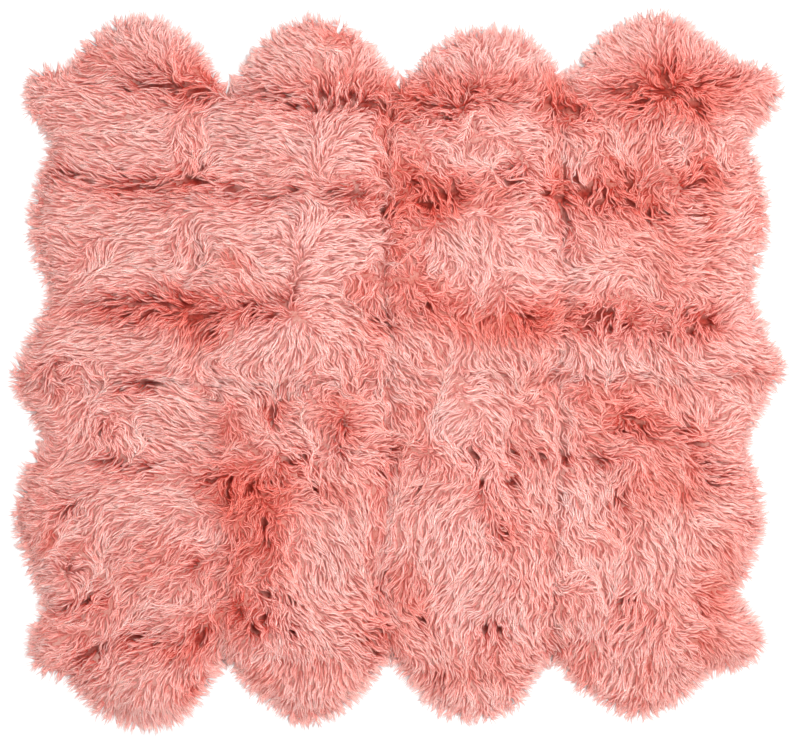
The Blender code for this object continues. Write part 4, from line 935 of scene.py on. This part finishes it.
def suede():
    """Tanned sheepskin, the flesh side buffed to a nap: mottled and dull."""
    material, tree = empty_material("buffed_sheepskin_suede")
    place = add(tree, "ShaderNodeTexCoord")
    mottle = add(tree, "ShaderNodeTexNoise", links={"Vector": place.outputs["Object"]},
                 values={"Scale": 1 / (HIDE_MOTTLE * MM), "Detail": 5.0})
    nap = add(tree, "ShaderNodeTexNoise", links={"Vector": place.outputs["Object"]},
              values={"Scale": 1 / (HIDE_NAP_PITCH * MM), "Detail": 2.0})
    colour = add(tree, "ShaderNodeMix", {"data_type": "RGBA"}, links={"Factor": mottle.outputs[0]},
                 values={6: (*HIDE_NAP, 1), 7: (*HIDE, 1)})
    bump = add(tree, "ShaderNodeBump", links={"Height": nap.outputs[0]},
               values={"Strength": 0.3, "Distance": 0.0004})
    leather = add(tree, "ShaderNodeBsdfPrincipled",
                  links={"Base Color": colour.outputs[2], "Normal": bump.outputs[0]},
                  values={"Roughness": 0.9, "IOR": 1.5, "Specular IOR Level": 0.2,
                          "Sheen Weight": 0.3})
    add(tree, "ShaderNodeOutputMaterial", links={"Surface": leather.outputs[0]})
    return material


def white_sweep():
    """Painted studio floor, plain and matt."""
    material, tree = empty_material("matt_white_paint")
    paint = add(tree, "ShaderNodeBsdfPrincipled",
                values={"Base Color": (*SWEEP, 1), "Roughness": 0.95, "Specular IOR Level": 0.1})
    add(tree, "ShaderNodeOutputMaterial", links={"Surface": paint.outputs[0]})
    return material


# ---------------------------------------------------------------- where the wisps lie

Roots = namedtuple("Roots", "spots lengths widths kinds near_rim")
Wisps = namedtuple("Wisps", "centres widths kinds owners tone openness")


def varied(count, chance):
    """Random factors around 1, one for each."""
    return 1 + chance.uniform(-1, 1, count) * WISP_CHANGE


def traced(starts, lengths, rug, turn, phase):
    """Paths that follow the combed way from their starts, turned from it and waving a little."""
    spots = starts
    path = [spots]
    step = lengths / WISP_STEPS
    swing = WAVE_TURN + WAVE_CURL * rug.curl.at(starts)
    for number in range(WISP_STEPS):
        way = rug.comb.at(spots)
        wave = swing * np.sin(phase + number * step * math.tau / WAVE_LENGTH)
        angle = np.arctan2(way[:, 1], way[:, 0]) + rug.crimp.at(spots) + turn + wave
        spots = spots + step[:, None] * np.column_stack([np.cos(angle), np.sin(angle)])
        path.append(spots)
    return np.stack(path, axis=1)


def root_wisps(rug, chance):
    """Where every wisp is rooted, how long and wide it is, its kind, and how near the rim."""
    full = jittered(rug.low, rug.high, WISP_PITCH, chance)
    full = full[rug.depth_in.at(full) > WISP_INSET]
    full_lengths = WISP_LENGTH * varied(len(full), chance)
    fringe = jittered(rug.low, rug.high, FRINGE_PITCH, chance)
    depth = rug.depth_in.at(fringe)
    fringe = fringe[(depth > FRINGE_INSET) & (depth < FRINGE_DEPTH)]
    short = jittered(rug.low, rug.high, SHORT_PITCH, chance)
    parting = share_of(rug.parting.at(short)) * (rug.depth_in.at(short) > SHORT_INSET)
    short = short[chance.uniform(0, 1, len(short)) < parting]
    short_lengths = SHORT_LENGTH * varied(len(short), chance)

    counts = (len(full), len(short), len(fringe))
    spots = np.vstack([full, short, fringe])
    lengths = np.concatenate([full_lengths, short_lengths, np.full(len(fringe), WISP_LENGTH)])
    widths = np.repeat((1.0, SHORT_WIDTH, FRINGE_WIDTH), counts)
    kinds = np.full(len(spots), FINE)
    kinds[:len(full)] = np.digitize(rug.curl.at(full), (WAVY_FROM, CURLY_FROM))

    inside = rug.depth_in.at(spots)
    reach = inside + np.repeat((0, 0, FRINGE_REACH), counts)
    reach += chance.uniform(-1, 1, len(spots)) * RIM_REACH_CHANGE
    near = share_of(RIM_SHORTENS - inside / RIM_BEND)
    longest = np.maximum(reach, RIM_SHORTEST) / np.maximum(near, RIM_SLACK)
    lengths = np.where(near > 0, np.minimum(lengths, longest), lengths)
    return Roots(spots, lengths, widths, kinds, near)


def draw_together(rug, roots, locks, member, chance):
    """The wisps' paths along the combed way, each drawn to the path of its lock."""
    count = len(roots.spots)
    lock_turn = chance.uniform(-1, 1, len(locks)) * (LOCK_TURN + LOCK_TURN_CURL * rug.curl.at(locks))
    lock_phase = chance.uniform(0, math.tau, len(locks))
    lock_paths = traced(locks, WISP_LENGTH * varied(len(locks), chance), rug, lock_turn, lock_phase)
    turn = lock_turn[member] + chance.uniform(-1, 1, count) * WISP_TURN
    phase = lock_phase[member] + chance.uniform(-LOCK_PHASE, LOCK_PHASE, count)
    own = traced(roots.spots, roots.lengths, rug, turn, phase)
    scale = (roots.lengths / WISP_LENGTH)[:, None, None]
    start = blend(roots.spots, locks[member], LOCK_ROOT_PULL)
    drawn = start[:, None] + (lock_paths - locks[:, None])[member] * scale
    pull = LOCK_PULL * np.linspace(0, 1, WISP_STEPS + 1) ** LOCK_PULL_GROWS
    pull = pull[None, :, None] * share_of(RIM_LOOSE - roots.near_rim)[:, None, None]
    return blend(own, drawn, pull)


def lay_wisps(rug, chance):
    """Where every wisp lies: its path in millimetres, its slab, its lock's tone and its openness."""
    roots = root_wisps(rug, chance)
    locks = jittered(rug.low, rug.high, LOCK_PITCH, chance)
    locks = locks[rug.depth_in.at(locks) > -LOCK_OVER_RIM]
    member = nearest(locks, roots.spots)
    paths = draw_together(rug, roots, locks, member, chance)
    keep = ~crossing(paths)
    spots, member, count = roots.spots[keep], member[keep], keep.sum()
    flat = opened(paths[keep].reshape(-1, 2), rug.gaps)

    openness = rug.open.at(spots)
    pile = rug.height.at(flat).reshape(count, -1)
    lock_level = chance.uniform(-1, 1, len(locks))[member]
    level = 1 + (LOCK_LEVEL + LOCK_LEVEL_OPEN * openness) * lock_level
    level += chance.uniform(-WISP_LEVEL, WISP_LEVEL, count)
    rise = np.interp(np.linspace(0, 1, WISP_STEPS + 1), *RISE)
    lift = LIFT * level[:, None] * rise[None] * np.clip(pile / FULL_PILE, LEAST_LIFT, 1)
    heights = np.maximum(pile * UNDERWOOL_SHARE + lift, FLOOR_CLEAR)
    centres = np.concatenate([flat.reshape(count, -1, 2), heights[..., None]], axis=2)
    tone = chance.uniform(0, 1, len(locks))[member]
    return Wisps(centres, roots.widths[keep], roots.kinds[keep], rug.owner(spots), tone, openness)


# ---------------------------------------------------------------- wool

Part = namedtuple("Part", "points quads triangles flat_quads flat_triangles colours strands")


def wisp_solids(centres, widths, along, chance):
    """The corners of each wisp, its rings from the root on and then its tip."""
    count = len(centres)
    way = np.gradient(centres, axis=1)
    way /= np.linalg.norm(way, axis=2, keepdims=True)
    side = np.cross(way, (0, 0, 1.0))
    side /= np.linalg.norm(side, axis=2, keepdims=True)
    above = np.cross(side, way)
    roll = chance.uniform(-WISP_ROLL, WISP_ROLL, count)[:, None, None]
    cosine, sine = np.cos(roll), np.sin(roll)
    side, above = side * cosine + above * sine, above * cosine - side * sine
    width = (WISP_WIDTH * varied(count, chance) * widths)[:, None] * np.interp(along, *WIDTHS)
    thickness = (WISP_THICKNESS * widths)[:, None] * np.interp(along, *THICKNESSES)
    half = side * width[..., None] / 2
    ridge = above * thickness[..., None]
    foot = centres - ridge * (1 - WISP_RIDGE)
    rings = np.stack([foot + half, foot - half, centres + ridge * WISP_RIDGE], axis=2)
    corners = np.concatenate([rings[:, :-1].reshape(count, -1, 3), centres[:, -1:]], axis=1)
    corners[..., 2] = np.maximum(corners[..., 2], FLOOR_CLEAR / 2)
    return corners


def wisp_faces(steps):
    """The four-sided and three-sided faces of one wisp, by corner."""
    sides = [(0, 1), (1, 2), (2, 0)]
    last, tip = 3 * (steps - 1), 3 * steps
    quads = [(ring + a, ring + b, ring + 3 + b, ring + 3 + a)
             for ring in range(0, last, 3) for a, b in sides]
    triangles = [(last + a, last + b, tip) for a, b in sides] + [(2, 1, 0)]
    return np.array(quads), np.array(triangles)


def rim_share(rug, centres):
    """How far each point of the wisps has come to the rim, from 0 to 1."""
    depth = rug.depth_in.at(centres[..., :2].reshape(-1, 2))
    return share_of(1 - depth / RIM_FADE).reshape(*centres.shape[:2], 1)


def dye_and_painted_light_of(rug, centres, tone, openness, along, chance):
    """The wool's colour along each wisp, one for each of its rings and its tip, with painted
    shade near the gaps and painted light over the lobes, the partings and the rim.
    """
    count = len(centres)
    roots = centres[:, 0, :2] + chance.normal(0, DYE_SCATTER, (count, 2))
    pale = share_of(rug.pale.at(roots))
    # Partly painted shade: near the gaps, where the wool stands open, the wisps are made more coral
    # and show more of the root's colour.
    coral = share_of(rug.coral.at(roots) * (1 - CORAL_LESS_PALE * pale) + CORAL_OPEN * openness)
    tone = blend(chance.uniform(0, 1, count), tone, TONE_LOCK)
    light = (LIGHT_LEAST + LIGHT_TONE * tone) * (1 - CORAL_DIMS * coral) + LIGHT_PALE * pale
    body = blend(PINK, PALE, light[:, None])
    body = blend(body, CORAL, coral[:, None] * CORAL_BODY)
    deep = share_of(DEEP_ROOT + DEEP_OPEN * openness + DEEP_CORAL * coral - DEEP_PALE * pale)
    root = blend(body, ROOT, deep[:, None])
    grown = np.interp(along, *BODY_COLOUR)[None, :, None]
    colours = blend(root[:, None], body[:, None], grown)
    return blend(colours, RIM_TIP, rim_share(rug, centres) * RIM_TIP_SHARE)


def wisp_bunch(rug, wisps, kind, chance):
    """All wisps of one kind: their slabs, corners, colours and places in the fibre streaks."""
    mine = wisps.kinds == kind
    widths = wisps.widths[mine]
    along = np.array(RINGS[kind]) / WISP_STEPS
    centres = wisps.centres[mine][:, RINGS[kind]]
    count = len(centres)
    corners = wisp_solids(centres, widths, along, chance)
    colours = dye_and_painted_light_of(rug, centres, wisps.tone[mine], wisps.openness[mine], along, chance)

    spots = centres[:, :-1, :2].reshape(-1, 2)
    # Painted shade: each wisp's two thin edges are coloured darker and deeper than its ridge, most
    # where the wool is curly, coral or open, and less near the rim.
    rough = ROUGH_CURL * rug.curl.at(spots) + ROUGH_CORAL * rug.coral.at(spots)
    rough = share_of(rough + ROUGH_OPEN * rug.open.at(spots)).reshape(count, -1, 1)
    edge = blend(EDGE_SHADE_SLEEK, EDGE_SHADE_CURLY, rough)
    edge = blend(edge, 1, rim_share(rug, centres[:, :-1]) * RIM_EDGE_SHARE)
    edge_shaded = colours[:, :-1, None] * np.stack([edge, edge, np.ones_like(edge)], axis=2)
    colours = np.concatenate([edge_shaded.reshape(count, -1, 3), colours[:, -1:] * TIP_TINT], axis=1)

    around = np.append(np.tile((0.0, 1.0, 0.5), len(along) - 1), 0.5)
    across = around[None] * widths[:, None] * (WISP_WIDTH / STREAK_WIDTH)
    onward = np.append(np.repeat(along[:-1], 3), 1.0)[None] * (WISP_LENGTH / STREAK_LENGTH)
    apart = chance.uniform(0, STREAKS_APART, count)[:, None]
    strands = np.stack(np.broadcast_arrays(across, onward, apart), axis=2)
    return wisps.owners[mine], corners, colours, strands


def wisps_on(number, kind, bunch):
    """The wisps of one kind that grow on one slab."""
    owners, corners, colours, strands = bunch
    mine = owners == number
    count = mine.sum()
    quads, triangles = wisp_faces(len(RINGS[kind]) - 1)
    first = (np.arange(count) * corners.shape[1])[:, None, None]
    flat_quads = np.tile(np.arange(len(quads)) % 3 == 0, count)
    flat_triangles = np.tile((True, False, False, True), count)
    return Part(corners[mine].reshape(-1, 3), (quads[None] + first).reshape(-1, 4),
                (triangles[None] + first).reshape(-1, 3), flat_quads, flat_triangles,
                colours[mine].reshape(-1, 3), strands[mine].reshape(-1, 3))


def slab_body(name):
    """A slab's own mesh, its corners joined."""
    body = bmesh.new()
    body.from_mesh(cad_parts[name].data)
    bmesh.ops.remove_doubles(body, verts=body.verts, dist=JOIN_WITHIN * MM)
    return body


def divided_slab(name):
    """A slab's points and triangles, divided finely enough for the dense wool."""
    body = slab_body(name)
    for pitch in UNDERWOOL_PITCHES:
        upper = [edge for edge in body.edges if max(v.co.z for v in edge.verts) > SLAB_UPPER * MM]
        middles = np.array([(edge.verts[0].co + edge.verts[1].co)[:2] for edge in upper]) / 2 / MM
        at_gap = patchwork(middles, halved(GAPS), (pitch, pitch)) > UNDERWOOL_GAP
        wanted = at_gap | (pitch > UNDERWOOL_WIDE)
        long = [edge for edge, divide in zip(upper, wanted)
                if divide and edge.calc_length() > UNDERWOOL_LONG * pitch * MM]
        bmesh.ops.subdivide_edges(body, edges=long, cuts=1, use_grid_fill=True)
    bmesh.ops.triangulate(body, faces=body.faces)
    body.verts.index_update()
    points = np.array([v.co for v in body.verts]) / MM
    faces = np.array([[v.index for v in face.verts] for face in body.faces])
    body.free()
    return points, faces


def underwool(name, rug, chance):
    """The dense wool under the wisps: the slab's form, lower and finer, with the gaps sunk in and
    painted dark with shade at their floors.
    """
    points, faces = divided_slab(name)
    count = len(points)
    upper = points[:, 2] > SLAB_UPPER
    gap = patchwork(points[:, :2], halved(GAPS), GAP_EDGE)
    height = np.minimum(points[:, 2], rug.height.at(points[:, :2]))
    lumps = chance.uniform(*UNDERWOOL_LUMPS, count) + gap * chance.uniform(*GAP_LUMPS, count)
    wool = height * (UNDERWOOL_SHARE - GAP_SINKS * gap) + lumps - UNDERWOOL_LOWER
    wool = np.maximum(wool, UNDERWOOL_FLOOR + UNDERWOOL_THINNEST)
    points[:, 2] = np.where(upper, wool, np.maximum(points[:, 2], UNDERWOOL_FLOOR))
    outside = np.minimum(rug.depth_in.at(points[:, :2]) - UNDERWOOL_INSET, 0)
    points[:, :2] += outside[:, None] * rug.comb.at(points[:, :2])
    coral = share_of(rug.coral.at(points[:, :2]))[:, None]
    # Painted shade: the dense wool is coloured deeper than the wisps, and dark at the floors of the
    # gaps.
    floor_shade = GAP_FLOOR_SHADE + (ROOT - GAP_FLOOR_SHADE) * chance.uniform(0, GAP_SHADE_CHANGE, (count, 1))
    colours = blend(blend(UNDERWOOL_PLAIN, UNDERWOOL_CORAL, coral), floor_shade, gap[:, None])
    return Part(points, np.zeros((0, 4), int), faces, np.zeros(0, bool),
                np.zeros(len(faces), bool), colours, points / CLUMP)


def wool_mesh(name, parts):
    """One mesh of all the parts."""
    first = np.cumsum([0] + [len(part.points) for part in parts])

    def joined(*fields):
        return np.concatenate([getattr(part, field) for field in fields for part in parts])

    def shifted(field):
        return np.concatenate([getattr(part, field) + start for part, start in zip(parts, first)])

    points, quads, triangles = joined("points"), shifted("quads"), shifted("triangles")
    mesh = bpy.data.meshes.new(name)
    mesh.vertices.add(len(points))
    mesh.vertices.foreach_set("co", (points * MM).astype(np.float32).ravel())
    corners = np.concatenate([quads.ravel(), triangles.ravel()]).astype(np.int32)
    sizes = np.repeat((4, 3), (len(quads), len(triangles)))
    starts = np.append(0, np.cumsum(sizes)[:-1]).astype(np.int32)
    mesh.loops.add(len(corners))
    mesh.loops.foreach_set("vertex_index", corners)
    mesh.polygons.add(len(sizes))
    mesh.polygons.foreach_set("loop_start", starts)
    mesh.update(calc_edges=True)
    mesh.polygons.foreach_set("use_smooth", ~joined("flat_quads", "flat_triangles"))
    # The colours carry painted shade and light besides the dye: shade along the wisps' edges, in the
    # dense wool and at the floors of the gaps, light over the lobes, the partings and the rim.
    dye_and_painted_light = mesh.color_attributes.new("dye_and_painted_light", "FLOAT_COLOR", "POINT")
    rgba = np.column_stack([joined("colours"), np.ones(len(points))])
    dye_and_painted_light.data.foreach_set("color", rgba.astype(np.float32).ravel())
    strand = mesh.attributes.new("strand", "FLOAT_VECTOR", "POINT")
    strand.data.foreach_set("vector", joined("strands").astype(np.float32).ravel())
    return mesh


# ---------------------------------------------------------------- pieces

def laid(name, mesh, material):
    """A piece of the rug, made of a mesh and a material."""
    piece = bpy.data.objects.new(name, mesh)
    mesh.materials.append(material)
    bpy.context.scene.collection.objects.link(piece)
    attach(piece, "root")
    return piece


def underside_ring(name):
    """The outline of a slab's underside, corner by corner, in millimetres."""
    body = slab_body(name)

    def spot(vert):
        return round(vert.co.x, JOIN_DIGITS), round(vert.co.y, JOIN_DIGITS)

    walled = {spot(v) for v in body.verts if v.co.z > HIDE_TOP * MM}
    rim = {v for v in body.verts if v.co.z < JOIN_WITHIN * MM and spot(v) in walled}
    loops = [loop for face in body.faces if all(v in rim for v in face.verts) for loop in face.loops]
    times = Counter(loop.edge for loop in loops)
    follow = {loop.vert: loop.link_loop_next.vert for loop in loops if times[loop.edge] == 1}
    start = next(iter(follow))
    ring, here = [start.co.copy()], follow[start]
    while here is not start:
        ring.append(here.co.copy())
        here = follow[here]
    body.free()
    return np.array(ring)[:, :2] / MM


def make_hide(name, rug, material):
    """The tanned hide under a pelt's wool, cut along the slab's underside."""
    ring = underside_ring(name)
    inward = np.clip(HIDE_INSET + HIDE_RIM - rug.depth_in.at(ring), 0, HIDE_INSET)
    ring = ring - rug.comb.at(ring) * inward[:, None]
    x, y = (ring * MM).T
    area = abs(np.sum(x * np.roll(y, -1) - y * np.roll(x, -1))) / 2
    cut = bmesh.new()
    lower = [cut.verts.new((*spot, 0.0)) for spot in ring * MM]
    upper = [cut.verts.new((*spot, HIDE_TOP * MM)) for spot in ring * MM]
    flats = [cut.faces.new(lower), cut.faces.new(upper)]
    for number in range(len(ring)):
        after = (number + 1) % len(ring)
        cut.faces.new((lower[number], lower[after], upper[after], upper[number]))
    bmesh.ops.recalc_face_normals(cut, faces=cut.faces)
    bmesh.ops.triangulate(cut, faces=flats)
    hide_name = name.replace("pelt", "hide")
    mesh = bpy.data.meshes.new(hide_name)
    cut.to_mesh(mesh)
    cut.free()
    hide = laid(hide_name, mesh, material)
    return hide, (ring.max(axis=0) - ring.min(axis=0)) * MM, area


def make_rug(rug, chance):
    """The eight pelts: each one's wool in place of its slab, and its hide under it."""
    wool, leather = dyed_wool(), suede()
    wisps = lay_wisps(rug, chance)
    bunches = {kind: wisp_bunch(rug, wisps, kind, chance) for kind in RINGS}
    for number, name in enumerate(NAMES):
        parts = [underwool(name, rug, chance)]
        parts += [wisps_on(number, kind, bunch) for kind, bunch in bunches.items()]
        wool_name = name.replace("pelt", "wool")
        piece = laid(wool_name, wool_mesh(wool_name, parts), wool)
        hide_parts(name)
        hide, size, area = make_hide(name, rug, leather)


def make_stage():
    """A pale floor, soft light, and the camera straight over the rug."""
    bpy.ops.mesh.primitive_plane_add(size=FLOOR_SIZE)
    floor = bpy.context.object
    floor.name = "floor"
    floor.data.materials.append(white_sweep())

    world = bpy.data.worlds.new("studio")
    bpy.context.scene.world = world
    world.use_nodes = True
    background = world.node_tree.nodes["Background"]
    background.inputs["Color"].default_value = (1, 1, 1, 1)
    background.inputs["Strength"].default_value = ROOM_STRENGTH

    lamp = bpy.data.lights.new("softbox", "AREA")
    lamp.shape = "SQUARE"
    lamp.size = SOFTBOX_SIZE
    lamp.energy = SOFTBOX_WATTS
    light = bpy.data.objects.new("softbox", lamp)
    light.location = SOFTBOX_PLACE
    light.rotation_euler = (-light.location).to_track_quat("-Z", "Y").to_euler()
    bpy.context.scene.collection.objects.link(light)

    camera = bpy.data.cameras.new("camera")
    camera.lens = CAMERA_LENS
    camera.sensor_width = SENSOR_WIDTH
    view = bpy.data.objects.new("camera", camera)
    distance = IMAGE_WIDTH * PIXEL * CAMERA_LENS / SENSOR_WIDTH
    across = (IMAGE_MIDDLE_PIXEL[0] - RUG_MIDDLE_PIXEL[0]) * PIXEL
    up = (RUG_MIDDLE_PIXEL[1] - IMAGE_MIDDLE_PIXEL[1]) * PIXEL
    view.location = Vector((across, up, distance + LENS_RISE)) * MM
    bpy.context.scene.collection.objects.link(view)
    bpy.context.scene.camera = view
    bpy.context.scene.view_settings.view_transform = "Standard"


NAMES = sorted(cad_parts)
CHANCE = np.random.default_rng(RANDOM_SEED)
RUG = Rug(CHANCE)
make_stage()
make_rug(RUG, CHANCE)
